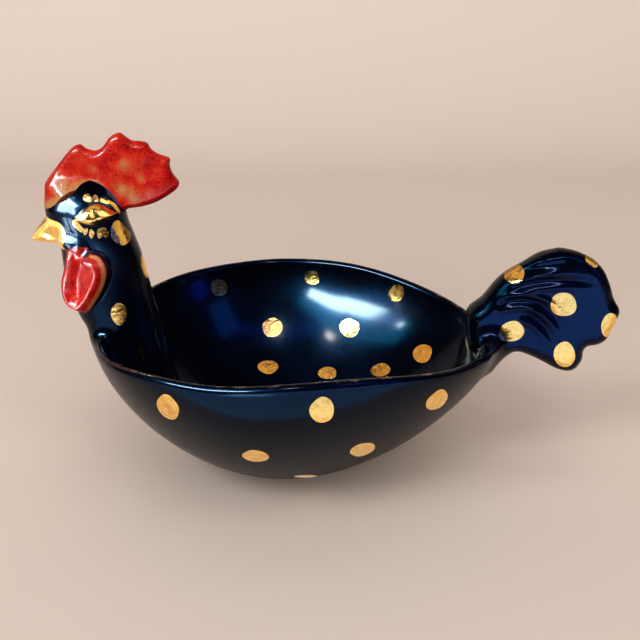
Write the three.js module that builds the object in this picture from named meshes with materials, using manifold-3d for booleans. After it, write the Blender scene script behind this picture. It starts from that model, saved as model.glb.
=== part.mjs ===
// A glazed ceramic dish in the shape of a rooster, about 237 mm from beak to tail.
//
// The clay pieces are made one by one and luted together with slip: an open egg-shaped bowl, a hollow
// neck and head standing in the head end of the bowl, a comb, a beak, two closed eyelids and two
// wattles on the head and throat, and a fan tail that saddles the pointed end of the rim.
// A joint is a film of slip, so every piece stops that film short of the piece that carries it.
//
// Millimetres. +Z is up, the bird looks along -X, and its left side is -Y. The origin is on the table,
// under the middle of the bird's length.
import * as THREE from "three";
import { mergeVertices } from "three/addons/utils/BufferGeometryUtils.js";
import Module from "manifold-3d";

const wasm = await Module();
wasm.setup();

// Slip between two luted pieces
const slip = 0.3;

// Bowl. Its plan is an egg: half an ellipse on the head side, a fuller curve to a point on the tail side.
const bowlWidth = 152;
const bowlHeadReach = 73; // from the widest section to the rim under the neck
const bowlTailReach = 90; // from the widest section to the rim under the tail
const bellyRadius = 73.85; // of the round that the plan turns into towards the floor
const bellyShift = 6.9; // how far the lowest point lies behind the widest section
const bowlHeight = 66.5; // table to rim, at the widest section
const rimDropAtHead = 7;
const rimDropAtTail = 10.5;
const rimWaveHeight = 0.6;
const rimWaves = 5;
const bowlWall = 4;
const bowlFloor = 5;

// Foot: the round on which the belly is cut flat, hollowed a little in the middle
const footDiameter = 33.5;
const footRing = 6;
const footHollow = 1;

// Neck. It rises from the inside of the bowl and leans forward over the rim.
const neckHeight = 34; // rim to the joint with the head
const neckDepth = 31.6; // front to back, at the rim
const neckWidth = 29;
const neckOverhang = 3.1; // how far the neck stands in front of the rim
const throatDepth = 30.6;
const throatWidth = 26;
const throatOverhang = 12.4;
const neckRootDepth = 46; // rim to the lowest point of the root
const neckRootSpread = 4.6;
const collarDepth = 15; // how far the clay is drawn down the outside of the rim
const neckWall = 5;
const ventDiameter = 3;
const cutOverlap = 1; // how far a hollow is cut past the joint, so that it opens there
const ringSpacing = 5; // up the neck and head

// Head
const browHeight = 15; // joint to brow
const crownHeight = 29; // joint to crown
const browOverhang = 17; // how far the brow stands in front of the rim
const headDepth = 31.5;
const headWidth = 27.5;
const headWall = 5;

// Comb
const combThickness = 8;
const combLength = 52.4;
const combHeight = 28.7;
const combEdge = 2.4;
const combFrontBack = 0.6; // brow to the front of the comb
const combFrontRise = 2;

// Beak
const jawRise = 2.6; // joint to the lower jaw
const beakLength = 12.8; // gape to tip
const beakHeight = 10.8;
const beakWidth = 10;
const gapeBack = 6.2; // brow to the corner of the gape
const beakTipRise = 1.2; // how far the tip lies above the lower jaw
const beakRoot = 5; // gape to the end of the root, inside the head
const gapeDepth = 0.7;

// Closed eyelids
const eyelidLength = 15.5;
const eyelidHeight = 9.5;
const eyelidRelief = 2.8;
const eyelidBack = 22; // brow to the middle of the lid
const eyelidRise = 1.6; // brow to the middle of the lid, upwards

// Wattles
const wattleLength = 29;
const wattleWidth = 19;
const wattleThickness = 11;
const wattlePress = 2.4; // depth of the thumb mark down the middle
const wattleDrop = 10; // middle of the pad below the joint of neck and head
const wattleBack = 10; // throat to the middle of the pad

// Tail
const tailLength = 62; // saddle on the rim to the furthest feather
const tailRise = 35; // rim to the highest feather
const tailDrop = 14.5; // rim to the underside of the root
const tailRootThickness = 17;
const tailTipThickness = 9;
const tailEdge = 3.2;
const tailSaddle = 12; // how far the root reaches in over the rim
const grooveWidth = 2;

const TAU = 2 * Math.PI;
const mix = THREE.MathUtils.lerp;
const smooth = THREE.MathUtils.smoothstep;
const power = (value, exponent) => Math.sign(value) * Math.abs(value) ** exponent;

const blackGlaze = { color: 0x0a0f1c, roughness: 0.16, metalness: 0.35 };
const redGlaze = { color: 0xb8220c, roughness: 0.22, metalness: 0 };
const goldLustre = { color: 0xd9a441, roughness: 0.15, metalness: 1 };

// A closed skin over a row of rings that all have the same number of points, with a fan over each end.
function skin(rings) {
  const count = rings[0].length;
  const points = rings.flat();
  const faces = [];
  for (let i = 0; i < rings.length - 1; i++) {
    for (let j = 0; j < count; j++) {
      const k = (j + 1) % count;
      const here = i * count;
      const next = here + count;
      faces.push(here + j, here + k, next + k, here + j, next + k, next + j);
    }
  }
  const last = (rings.length - 1) * count;
  for (const start of [0, last]) {
    const ring = points.slice(start, start + count);
    points.push(ring.reduce((sum, point) => sum.add(point), new THREE.Vector3()).divideScalar(count));
    const middle = points.length - 1;
    for (let j = 0; j < count; j++) {
      const k = (j + 1) % count;
      faces.push(...(start === last ? [middle, start + j, start + k] : [middle, start + k, start + j]));
    }
  }
  const geometry = new THREE.BufferGeometry().setFromPoints(points);
  geometry.setIndex(faces);
  return geometry;
}

// A ring of points at equal steps of angle. `point` gives the point at an angle.
const ring = (count, point) => Array.from({ length: count }, (_, i) => point((i / count) * TAU));

// A solid of a closed geometry, turned right side out.
function solid(geometry) {
  const bare = new THREE.BufferGeometry();
  bare.setAttribute("position", geometry.getAttribute("position"));
  bare.setIndex(geometry.index);
  const merged = mergeVertices(bare, 1e-4);
  const vertProperties = new Float32Array(merged.attributes.position.array);
  const triVerts = new Uint32Array(merged.index.array);
  const [a, b, c] = [new THREE.Vector3(), new THREE.Vector3(), new THREE.Vector3()];
  let volume = 0;
  for (let i = 0; i < triVerts.length; i += 3) {
    a.fromArray(vertProperties, 3 * triVerts[i]);
    b.fromArray(vertProperties, 3 * triVerts[i + 1]);
    c.fromArray(vertProperties, 3 * triVerts[i + 2]);
    volume += a.dot(b.cross(c));
  }
  if (volume < 0) {
    for (let i = 0; i < triVerts.length; i += 3) triVerts.subarray(i, i + 2).reverse();
  }
  return new wasm.Manifold(new wasm.Mesh({ numProp: 3, vertProperties, triVerts }));
}

// A slab that stands in the plane of the bird's length and height, with its edges rounded.
function roundedSlab(outline, thickness, edge) {
  const slab = new THREE.ExtrudeGeometry(outline, {
    depth: thickness - 2 * edge,
    bevelThickness: edge,
    bevelSize: 0.6 * edge,
    bevelOffset: -0.4 * edge,
    bevelSegments: 3,
    curveSegments: 3,
  });
  slab.translate(0, 0, edge - thickness / 2);
  slab.rotateX(TAU / 4);
  return slab;
}

// The named mesh of a solid.
function piece(name, manifold, glaze) {
  const mesh = manifold.getMesh();
  const geometry = new THREE.BufferGeometry();
  geometry.setAttribute("position", new THREE.BufferAttribute(new Float32Array(mesh.vertProperties), 3));
  geometry.setIndex(new THREE.BufferAttribute(new Uint32Array(mesh.triVerts), 1));
  geometry.computeVertexNormals();
  const made = new THREE.Mesh(geometry, new THREE.MeshStandardMaterial(glaze));
  made.name = name;
  return made;
}

// Bowl

const widthPower = 1.835; // the two powers of the belly's curve from the floor up to the rim
const heightPower = 1.466;
const tailPower = 2 / 1.87; // a superellipse a little more pointed than an ellipse
const footShare = footDiameter / 2 / bellyRadius;
const riseOf = (out) => 1 - (1 - out ** widthPower) ** (1 / heightPower);
// How far the belly's curve would run below the table if the foot didn't cut it flat
const bellyDip = (bowlHeight * riseOf(footShare)) / (1 - riseOf(footShare));
const headRim = new THREE.Vector3(-bowlHeadReach, 0, bowlHeight - rimDropAtHead);
const tailRim = new THREE.Vector3(bowlTailReach, 0, bowlHeight - rimDropAtTail);

// The rim's plan at an angle from the tail, moved in by `inset`. The widest section is at x = 0.
function rimPlan(angle, inset) {
  const along = Math.cos(angle);
  const across = Math.sin(angle);
  const exponent = along > 0 ? tailPower : 1;
  const reach = along > 0 ? bowlTailReach : bowlHeadReach;
  return [(reach - inset) * power(along, exponent), (bowlWidth / 2 - inset) * power(across, exponent)];
}

// The rim's height: it dips towards both ends, and waves a little as thrown clay does.
function rimHeight(angle) {
  const along = Math.cos(angle);
  const across = Math.sin(angle);
  const dip = along > 0 ? rimDropAtTail * along ** 2.4 : rimDropAtHead * along ** 2;
  return bowlHeight - dip + rimWaveHeight * across ** 2 * Math.cos(rimWaves * angle);
}

// A point of the bowl's wall at a share of the way out to the rim. The outside face has no inset and
// no lift, the inside face has the wall as its inset and the floor as its lift.
function wallPoint(angle, out, inset, lift) {
  const [x, y] = rimPlan(angle, inset);
  const left = 1 - out;
  const belly = (bellyRadius - inset) * out * left;
  const height = mix(lift - bellyDip, rimHeight(angle) - bowlWall / 2, riseOf(out));
  return new THREE.Vector3(
    x * out * out + belly * Math.cos(angle) + bellyShift * left,
    y * out * out + belly * Math.sin(angle),
    Math.max(height, lift),
  );
}

// The point in the middle of the wall's thickness at an angle and a height.
function wallMiddle(angle, z) {
  const at = (out) => wallPoint(angle, out, bowlWall / 2, bowlFloor / 2);
  let [low, high] = [0.3, 1];
  for (let i = 0; i < 20; i++) {
    const half = (low + high) / 2;
    if (at(half).z < z) low = half;
    else high = half;
  }
  return at(high);
}

const wallSteps = [footShare, 0.36, 0.5, 0.62, 0.72, 0.81, 0.88, 0.93, 0.97, 0.99, 1];
const collarStep = 7; // the wall step at which the drawn-down clay of the neck ends

// The bowl, with its faces moved out by `grow`. As a mould it also fills all that lies under the bowl
// and outside its wall, up to the end of the neck's collar.
function bowlForm(grow, asMould = false) {
  const lip = bowlWall / 2;
  const rings = [];
  const add = (point) => rings.push(ring(64, point));
  const outside = (out) => (angle) => wallPoint(angle, out, -grow, -grow);
  if (asMould) {
    const far = 1.5;
    const base = -bowlHeight;
    const collar = outside(wallSteps[collarStep]);
    add((angle) => collar(angle).setZ(base).multiply(new THREE.Vector3(0.1, 0.1, 1)));
    add((angle) => collar(angle).setZ(base).multiply(new THREE.Vector3(far, far, 1)));
    add((angle) => collar(angle).multiply(new THREE.Vector3(far, far, 1)));
    wallSteps.slice(collarStep).forEach((out) => add(outside(out)));
  } else {
    wallSteps.forEach((out) => add(outside(out)));
  }
  for (const turn of [0.25, 0.5, 0.75]) {
    const round = lip + grow;
    const inset = lip - round * Math.cos(turn * Math.PI);
    const up = new THREE.Vector3(0, 0, round * Math.sin(turn * Math.PI));
    add((angle) => wallPoint(angle, 1, inset, 0).add(up));
  }
  wallSteps.toReversed().forEach((out) => add((angle) => wallPoint(angle, out, bowlWall + grow, bowlFloor + grow)));
  return solid(skin(rings));
}

// The vent lets the air out of the hollow neck in the kiln, through the wall that the neck covers.
function ventDrill() {
  const out = 0.9;
  const outside = wallPoint(Math.PI, out, 0, 0);
  const inside = wallPoint(Math.PI, out, bowlWall, bowlFloor);
  const drill = new THREE.CylinderGeometry(ventDiameter / 2, ventDiameter / 2, 4 * bowlWall, 12);
  const turn = new THREE.Quaternion().setFromUnitVectors(
    new THREE.Vector3(0, 1, 0),
    new THREE.Vector3(1, 0, 1).normalize(),
  );
  drill.applyQuaternion(turn);
  drill.translate(...outside.add(inside).divideScalar(2));
  return solid(drill);
}

// The hollow in the middle of the foot
function footCutter() {
  const radius = footDiameter / 2 - footRing;
  const cut = new THREE.CylinderGeometry(radius - footHollow, radius, 2 * footHollow, 32);
  cut.rotateX(TAU / 4);
  cut.translate(bellyShift, 0, 0);
  return solid(cut);
}

// Neck and head

const rootZ = headRim.z - neckRootDepth;
const jointZ = headRim.z + neckHeight;
const browZ = jointZ + browHeight;
const crownZ = jointZ + crownHeight;

// The level section of the neck and head at a height: its middle, half depth and half width.
function section(z, grow = 0) {
  let front;
  let depth;
  let width;
  let close = 1;
  if (z < headRim.z) {
    const down = headRim.z - z;
    const inWall = wallMiddle(Math.PI, z).x - headRim.x;
    const spread = neckRootSpread * (down / neckRootDepth);
    const back = neckDepth - neckOverhang + spread;
    front = Math.min(mix(-neckOverhang, inWall, Math.min(1, down / collarDepth)), back - neckDepth / 2);
    depth = back - front;
    width = neckWidth + spread;
  } else if (z < jointZ) {
    const up = (z - headRim.z) / neckHeight;
    front = -mix(neckOverhang, throatOverhang, 1 - (1 - up) ** 2.2);
    depth = mix(neckDepth, throatDepth, up);
    width = mix(neckWidth, throatWidth, smooth(up, 0, 1));
  } else {
    const up = smooth(z, jointZ, browZ);
    const rise = Math.max(0, z - browZ) / (crownZ + grow - browZ);
    front = -mix(throatOverhang, browOverhang, up);
    depth = mix(throatDepth, headDepth, up);
    width = mix(throatWidth, headWidth, up);
    close = Math.max(0, 1 - rise ** 2) ** 0.58;
  }
  return {
    middle: headRim.x + front + depth / 2,
    halfDepth: (depth / 2 + grow) * close,
    halfWidth: (width / 2 + grow) * close,
  };
}

// The neck and head between two heights, moved out by `grow`, or inside it where `grow` is negative.
function neckForm(from, to, grow = 0) {
  const levels = [];
  const top = Math.min(to, crownZ + grow);
  const straight = Math.min(top, browZ);
  const steps = Math.ceil((straight - from) / ringSpacing);
  for (let i = 0; i <= steps; i++) levels.push(mix(from, straight, i / steps));
  const domeSteps = 7;
  if (top > browZ) {
    for (let i = 1; i <= domeSteps; i++) levels.push(mix(browZ, top, Math.sin((i / domeSteps) * (TAU / 4.04))));
  }
  return solid(skin(levels.map((z) => {
    const { middle, halfDepth, halfWidth } = section(z, grow);
    return ring(32, (angle) => new THREE.Vector3(
      middle + halfDepth * Math.cos(angle),
      halfWidth * Math.sin(angle),
      z,
    ));
  })));
}

function neck() {
  const bore = neckForm(rootZ - cutOverlap, jointZ + cutOverlap, -neckWall);
  return neckForm(rootZ, jointZ - slip / 2).subtract(bore).subtract(bowlForm(slip, true));
}

function head() {
  const bore = neckForm(jointZ - cutOverlap, crownZ, -headWall);
  return neckForm(jointZ + slip / 2, crownZ).subtract(bore);
}

// The neck and head in one, with the film of slip around them, to fit other pieces to them.
const carrier = neckForm(rootZ, crownZ + slip, slip);

// A frame on the side of the neck or head: its origin on the skin, X along the skin towards the tail,
// Y out of the skin and Z up.
function sideFrame(x, z, side) {
  const onSkin = (height) => {
    const { middle, halfDepth, halfWidth } = section(height);
    const along = THREE.MathUtils.clamp((x - middle) / halfDepth, -0.95, 0.95);
    return { y: side * halfWidth * Math.sqrt(1 - along ** 2), along, halfDepth, halfWidth };
  };
  const here = onSkin(z);
  const slope = (onSkin(z + 1).y - onSkin(z - 1).y) / 2;
  const out = new THREE.Vector3(
    here.along / here.halfDepth,
    here.y / here.halfWidth ** 2,
    (-slope * here.y) / here.halfWidth ** 2,
  ).normalize();
  const up = new THREE.Vector3(0, 0, 1).addScaledVector(out, -out.z).normalize();
  const along = new THREE.Vector3().crossVectors(out, up);
  return new THREE.Matrix4().makeBasis(along, out, up).setPosition(x, here.y, z);
}

// Comb: a slab cut to a wavy outline, its edges rounded by hand, and its foot cut to the head.
function comb() {
  const brow = new THREE.Vector2(headRim.x - browOverhang + combFrontBack, browZ + combFrontRise);
  const place = ([along, up]) => new THREE.Vector2(brow.x + along * combLength, brow.y + up * combHeight);
  const edge = [
    [0, 0], [0.005, 0.27], [0.09, 0.52], [0.225, 0.8], [0.29, 0.84], [0.36, 0.77], [0.44, 0.8],
    [0.53, 0.97], [0.585, 1], [0.64, 0.93], [0.74, 0.89], [0.82, 0.76], [0.935, 0.66], [0.94, 0.52],
    [0.995, 0.33], [0.97, 0.22], [0.83, 0.06], [0.7, -0.01],
  ].map(place);
  const inHead = [[0.5, -0.12], [0.4, -0.3], [0.12, -0.3]].map(place);
  const outline = new THREE.Shape();
  outline.moveTo(edge[0].x, edge[0].y);
  outline.splineThru(edge.slice(1));
  inHead.forEach((point) => outline.lineTo(point.x, point.y));
  const slab = roundedSlab(outline, combThickness, combEdge);
  return solid(slab).subtract(carrier);
}

// Beak: a cone that droops to a point, with the line of the gape pressed into both sides.
function beakForm(grow = 0) {
  const jaw = jointZ + jawRise;
  const gapeX = headRim.x - browOverhang + gapeBack;
  const rootX = gapeX + beakRoot;
  const tipX = gapeX - beakLength;
  const stations = [0, 0.3, 0.5, 0.65, 0.78, 0.88, 0.95, 0.99];
  const gapeAngles = [TAU / 4 + 0.35, (3 * TAU) / 4 - 0.35];
  return solid(skin(stations.map((along) => {
    const taper = (1 - along ** 3.5) ** 0.9;
    const halfHeight = (beakHeight / 2) * taper + grow;
    const halfWidth = (beakWidth / 2) * (1 - along ** 3) + grow;
    const centre = jaw + beakTipRise * along ** 2 + (beakHeight / 2) * taper;
    return ring(24, (angle) => {
      const nearGape = Math.min(...gapeAngles.map((gape) => Math.abs(angle - gape)));
      const press = grow > 0 ? 0 : gapeDepth * Math.max(0, 1 - nearGape / 0.22) * taper;
      return new THREE.Vector3(
        mix(rootX, tipX, along),
        (halfWidth - press) * Math.sin(angle),
        centre + (halfHeight - press) * Math.cos(angle),
      );
    });
  })));
}

// Closed eyelid: an almond that swells from the side of the head.
function eyelid(side) {
  const profile = [];
  for (let i = 0; i <= 12; i++) {
    const along = -Math.cos((i / 12) * Math.PI);
    profile.push(new THREE.Vector2((1 - along ** 2) ** 0.8, along));
  }
  const almond = new THREE.LatheGeometry(profile, 20);
  almond.rotateZ(-TAU / 4);
  almond.scale(eyelidLength / 2, 1.6 * eyelidRelief, eyelidHeight / 2);
  almond.translate(0, -0.6 * eyelidRelief, 0);
  const x = headRim.x - browOverhang + eyelidBack;
  almond.applyMatrix4(sideFrame(x, browZ + eyelidRise, side));
  return solid(almond).subtract(carrier);
}

// Wattle: an oval pad on the side of the throat, with a thumb mark pressed down its middle.
function wattle(side) {
  const pad = new THREE.SphereGeometry(1, 24, 18);
  pad.rotateX(TAU / 4);
  const points = pad.attributes.position;
  for (let i = 0; i < points.count; i++) {
    const [x, y, z] = [points.getX(i), points.getY(i), points.getZ(i)];
    const mark = Math.exp(-((x / 0.4) ** 2)) * smooth(z, -0.75, -0.2);
    const full = (wattleThickness / 2) * power(y, 0.75);
    const pressed = y > 0 ? wattlePress * mark * Math.sqrt(y) : 0;
    const narrow = 1 - 0.12 * z;
    points.setXYZ(i, x * narrow * (wattleWidth / 2), full - pressed, z * (wattleLength / 2));
  }
  const z = jointZ - wattleDrop;
  const throat = section(z);
  pad.applyMatrix4(sideFrame(throat.middle - throat.halfDepth + wattleBack, z, side));
  const far = 4 * wattleLength;
  const otherSide = new THREE.BoxGeometry(far, far, far);
  otherSide.translate(headRim.x, -side * (far / 2 - slip / 2), z);
  return solid(pad).subtract(solid(otherSide)).subtract(carrier).subtract(beakForm(slip));
}

// Tail: a fan-shaped slab over the pointed end of the rim, thinner towards the tips of its feathers.
const feather = (along, up) => new THREE.Vector2(
  tailRim.x - tailSaddle + along * tailLength,
  tailRim.z + up * (up > 0 ? tailRise : tailDrop),
);

const tailHalfThickness = (x) => {
  const along = (x - tailRim.x + tailSaddle) / tailLength;
  return mix(tailRootThickness, tailTipThickness, THREE.MathUtils.clamp(along, 0, 1)) / 2;
};

// A groove between two feathers, pressed with a pointed tool: it fades out towards the root.
function featherGroove([from, to], side) {
  const [root, tip] = [feather(...from), feather(...to)];
  const start = new THREE.Vector3(root.x, side * (tailHalfThickness(root.x) + grooveWidth / 4), root.y);
  const end = new THREE.Vector3(tip.x, side * tailHalfThickness(tip.x), tip.y);
  const cut = new THREE.ConeGeometry(grooveWidth / Math.SQRT2, start.distanceTo(end), 8);
  const towardsRoot = start.clone().sub(end).normalize();
  cut.applyQuaternion(new THREE.Quaternion().setFromUnitVectors(new THREE.Vector3(0, 1, 0), towardsRoot));
  cut.translate(...start.add(end).divideScalar(2));
  return solid(cut);
}

function tail() {
  const fan = [
    [0, 0.3], [0.09, 0.42], [0.17, 0.59], [0.26, 0.73], [0.4, 0.9], [0.54, 0.99], [0.6, 1], [0.7, 0.96],
    [0.8, 0.87], [0.87, 0.75], [0.92, 0.6], [0.955, 0.42], [0.99, 0.3], [0.995, 0.24], [0.96, 0.1],
    [0.93, -0.06], [0.87, -0.15], [0.8, -0.17], [0.775, -0.3], [0.765, -0.55], [0.72, -0.78],
    [0.67, -0.85], [0.6, -0.74], [0.5, -0.5], [0.4, -0.3], [0.33, -0.28], [0.27, -0.42], [0.2, -0.7],
    [0.14, -0.95],
  ].map(([along, up]) => feather(along, up));
  const outline = new THREE.Shape();
  outline.moveTo(fan[0].x, fan[0].y);
  outline.splineThru(fan.slice(1));
  for (const drop of [0.9, 0.6, 0.3]) {
    const inWall = wallMiddle(0, tailRim.z - drop * tailDrop);
    outline.lineTo(inWall.x, inWall.z);
  }
  outline.lineTo(tailRim.x - 0.75 * tailSaddle, tailRim.z - 0.5 * tailSaddle);
  const slab = roundedSlab(outline, tailRootThickness, tailEdge);
  const points = slab.attributes.position;
  for (let i = 0; i < points.count; i++) {
    const thinner = (2 * tailHalfThickness(points.getX(i))) / tailRootThickness;
    points.setY(i, points.getY(i) * thinner);
  }
  const grooves = [
    [[0.3, 0.8], [0.62, 0.97]],
    [[0.34, 0.7], [0.77, 0.85]],
    [[0.28, 0.52], [0.9, 0.62]],
    [[0.46, 0.3], [0.67, 0]],
    [[0.34, 0.28], [0.54, 0.05]],
  ];
  let carved = solid(slab);
  for (const side of [-1, 1]) {
    for (const groove of grooves) carved = carved.subtract(featherGroove(groove, side));
  }
  return carved.subtract(bowlForm(slip));
}

const bird = new THREE.Group();
bird.add(
  piece("bowl", bowlForm(0).subtract(ventDrill()).subtract(footCutter()), blackGlaze),
  piece("neck", neck(), blackGlaze),
  piece("head", head(), blackGlaze),
  piece("comb", comb(), redGlaze),
  piece("beak", beakForm().subtract(carrier), goldLustre),
  piece("eyelid_left", eyelid(-1), goldLustre),
  piece("eyelid_right", eyelid(1), goldLustre),
  piece("wattle_left", wattle(-1), redGlaze),
  piece("wattle_right", wattle(1), redGlaze),
  piece("tail", tail(), blackGlaze),
);

const box = new THREE.Box3().setFromObject(bird, true);
const middle = box.getCenter(new THREE.Vector3());
bird.position.set(-middle.x, 0, 0);

const rooster = new THREE.Group();
rooster.add(bird);
export default rooster;
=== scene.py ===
"""A glazed rooster dish: bowl, neck, head, comb, beak, eyelids, wattles, tail, gold dots and lashes.

The clay of the whole bird is one closed shape, held as a field that is negative inside the clay. Each
piece is the part of that shape which its own form makes, meshed, cut along the joint and closed there.
Lengths inside the fields are millimetres; the Blender objects are in metres, in the CAD frame.
"""

import math

import bpy
import numpy as np
from bpy.props import FloatProperty, FloatVectorProperty, PointerProperty
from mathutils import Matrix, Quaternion, Vector


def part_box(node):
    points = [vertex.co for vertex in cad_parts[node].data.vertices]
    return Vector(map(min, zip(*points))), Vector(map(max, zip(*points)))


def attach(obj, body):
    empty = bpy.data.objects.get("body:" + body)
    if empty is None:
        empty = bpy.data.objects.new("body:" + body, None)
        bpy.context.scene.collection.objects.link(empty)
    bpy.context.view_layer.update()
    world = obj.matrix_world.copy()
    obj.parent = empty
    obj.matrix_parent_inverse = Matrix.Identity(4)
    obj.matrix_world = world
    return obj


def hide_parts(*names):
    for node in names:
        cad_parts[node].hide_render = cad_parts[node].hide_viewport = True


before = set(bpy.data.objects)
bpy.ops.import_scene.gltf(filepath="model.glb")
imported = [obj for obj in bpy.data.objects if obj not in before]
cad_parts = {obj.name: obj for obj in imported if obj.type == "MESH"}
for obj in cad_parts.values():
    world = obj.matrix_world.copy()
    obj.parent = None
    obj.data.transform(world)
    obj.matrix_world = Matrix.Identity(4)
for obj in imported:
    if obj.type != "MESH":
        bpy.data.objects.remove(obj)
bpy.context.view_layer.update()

bl_info = {
    "name": "Glazed rooster dish",
    "version": (1, 0, 0),
    "blender": (4, 5, 0),
    "location": "3D View > Sidebar > Rooster",
    "description": "Makes the glazed and gilded pieces of a rooster dish",
    "category": "Add Mesh",
}

MM = 0.001

# Camera of the photograph, in millimetres and pixels
CAMERA_PLACE = np.array([-3.98, -402.8, 213.4])
CAMERA_PITCH = math.radians(20.5)
CAMERA_FOCUS = 1050.0
PICTURE_SIDE = 640.0
SENSOR_WIDTH = 36.0

# Bowl, as in the frame: reach of the rim from the widest section, and the curve of the belly
HEAD_REACH = 73.0
TAIL_REACH = 90.0
SIDE_REACH = 76.0
WIDEST_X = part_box("bowl")[0].x / MM + HEAD_REACH
BELLY_RADIUS = 73.85
BELLY_SHIFT = 6.9
WIDTH_POWER = 1.835
HEIGHT_POWER = 1.466
TAIL_PLAN_POWER = 1.87

# How far the rim falls at the head and at the tail, and the height of the five waves along it
HEAD_DROP = 7.0
TAIL_DROP = 10.5
RIM_WAVE = 0.6

# Foot: its radius, and the radius and depth of the hollow in it
FOOT_RADIUS = 16.75
HOLLOW_RADIUS = 10.75
HOLLOW_DEPTH = 1.0

# Neck and head: how square their sections are, their mean half width, the height of the neck's foot, and
# the heights where the crown starts and ends
COLUMN_POWER = 2.15
COLUMN_HALF = 14.3
COLUMN_FOOT = 12.0
CROWN_START = 107.5
CROWN_TOP = 122.6

# How far in from its outline each form starts to round off
ROUNDING = {"tail": 5.2, "comb": 2.7, "beak": 4.4, "wattle": 3.0, "eyelid": 3.0}

# Half thicknesses: the wattle in its middle, what its loop adds and its thumb mark takes, the eyelid and
# what its fold takes, and the parts by which comb and tail thin towards their edges
WATTLE_HALF, WATTLE_LOOP, THUMB_MARK = 3.5, 1.9, 1.5
EYELID_HALF, EYELID_FOLD = 2.1, 0.4
COMB_TAPER, TAIL_TAPER = 0.3, 0.47

# Side of a pixel of the photograph at the dish, in millimetres
PIXEL = 0.41

# Swelling of the chin under the beak: its place on the side of the head, and its half sizes
CHIN_PLACE = np.array([-99.2, 10.4, 98.7])
CHIN_SIZE = np.array([5.2, 3.6, 3.1])

# Outlines in the plane of the bird's length and height, in millimetres
COMB_OUTLINE = [
    (-111.4, 111), (-111.4, 118.6), (-110.5, 121.1), (-106.7, 125.9), (-102.3, 131.1), (-99.3, 134.1),
    (-96.5, 135.1), (-94.2, 133.5), (-90.7, 132.7), (-87.9, 134.1), (-85.3, 137.4), (-83.2, 139),
    (-80.8, 139.6), (-78.6, 138), (-76.3, 136.6), (-73.2, 136.4), (-70.6, 135.6), (-69.4, 133.5),
    (-66.7, 131.5), (-63.3, 130.3), (-62.1, 129.5), (-62.3, 126.7), (-61.2, 123.5), (-59, 120.3),
    (-59.9, 117.8), (-63.6, 115), (-68.2, 112.5), (-72.9, 110.9), (-78.5, 110), (-88, 109),
    (-98, 108), (-107.5, 108),
]
TAIL_OUTLINE = [
    (55.4, 60), (56.4, 67.6), (61.8, 72.6), (66.6, 79.1), (71, 83.4), (76.9, 87.1), (83.8, 91.4),
    (89.8, 93.1), (92.8, 93.4), (99.1, 92), (105.4, 88.8), (110, 84.5), (113.1, 78.5), (115.2, 72.5),
    (117.8, 68.1), (118, 65.3), (116, 59.8), (113.8, 54.7), (110.4, 52.4), (106.2, 51.6),
    (104.8, 49.6), (104.6, 46.1), (102.3, 42.1), (98.7, 40.7), (93.8, 41.9), (88.2, 45), (81.7, 48.2),
    (77.3, 49.6), (73.7, 48.7), (69.7, 45.6), (66, 42), (60.5, 43), (57, 50),
]
BEAK_OUTLINE = [
    (-111.9, 106.6), (-115.1, 102.8), (-118, 99), (-118.5, 97.6), (-117.2, 96.5), (-112.4, 96),
    (-106.9, 95.9), (-100, 96.4), (-99, 103), (-104, 107.5), (-109, 108.2),
]
# Grooves pressed between the feathers, from root to tip, on the side of the tail
FEATHER_GROOVES = [
    [(69.8, 80.6), (75, 84.4), (82.5, 87), (91, 88.6), (99.5, 89.2)],
    [(70.4, 77.8), (77, 80), (86, 81.4), (96, 81.6), (106, 80.4)],
    [(65.5, 71.2), (74, 73.4), (82.5, 72.4), (89.5, 67.6), (94, 60.6)],
    [(76.5, 68.6), (82, 66.2), (87, 61.6), (90.6, 55.2)],
]

# Outlines in pixels of the photograph
WATTLE_PIXELS = [
    (65.5, 243), (64, 249), (63.6, 258), (61.6, 268.5), (59.8, 279.5), (60.2, 290),
    (63.4, 301), (69, 308.5), (76, 312.5), (82, 314), (87, 311), (94.5, 301),
    (100.6, 289), (103.4, 278), (102.6, 268.5), (98.4, 260.5), (94, 257), (90, 256),
    (86.5, 254), (83, 247.5), (77.5, 244), (71, 242.5),
]
WATTLE_MARK_PIXELS = [(82.5, 249), (80.5, 260), (78, 272), (76.5, 284), (76.5, 295)]
EYELID_PIXELS = [
    (75.4, 219), (79, 214.4), (84.3, 209.4), (89, 206.8), (95, 205.6), (100.5, 207),
    (105.6, 210.4), (110.2, 213.9), (113.6, 216.6), (110.4, 220.4), (105.5, 223.8), (100, 225.4),
    (93.5, 225.8), (86.2, 224.8), (80.3, 222.6),
]
LASH_PIXELS = [
    [(73.6, 219.4), (76.6, 220.6), (80.5, 225.2), (83.5, 229), (81.2, 232.4), (76.6, 229), (72.8, 224.4)],
    [(83.7, 229), (87.4, 228.4), (87.7, 232), (85.4, 235.1), (83.1, 232.8)],
    [(90.8, 229), (94.6, 232.8), (93.2, 236.6), (91.2, 238.5), (88.9, 234.3)],
    [(103, 226.7), (106.5, 229), (108.8, 233.6), (106.1, 238.5), (103, 235.9), (99.2, 238.9),
     (96.9, 234.3), (98.1, 229)],
    [(82.8, 197.6), (86.6, 193.4), (90.4, 195.3), (92.3, 199.9), (88.9, 202.6), (85, 201)],
    [(92.9, 196.5), (95.4, 194.5), (98.1, 197.6), (98.1, 201), (95.2, 201.8), (93.3, 199.8)],
    [(101.1, 198.4), (104.9, 199.9), (108.8, 203.2), (106.5, 203.9), (102.7, 202.6), (100, 201)],
    [(108, 199.9), (111.8, 201.4), (116.4, 205.3), (119.5, 209.8), (120.2, 213.7), (118, 213.2),
     (114.9, 209), (111.1, 204.9), (108, 202.2)],
]
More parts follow.
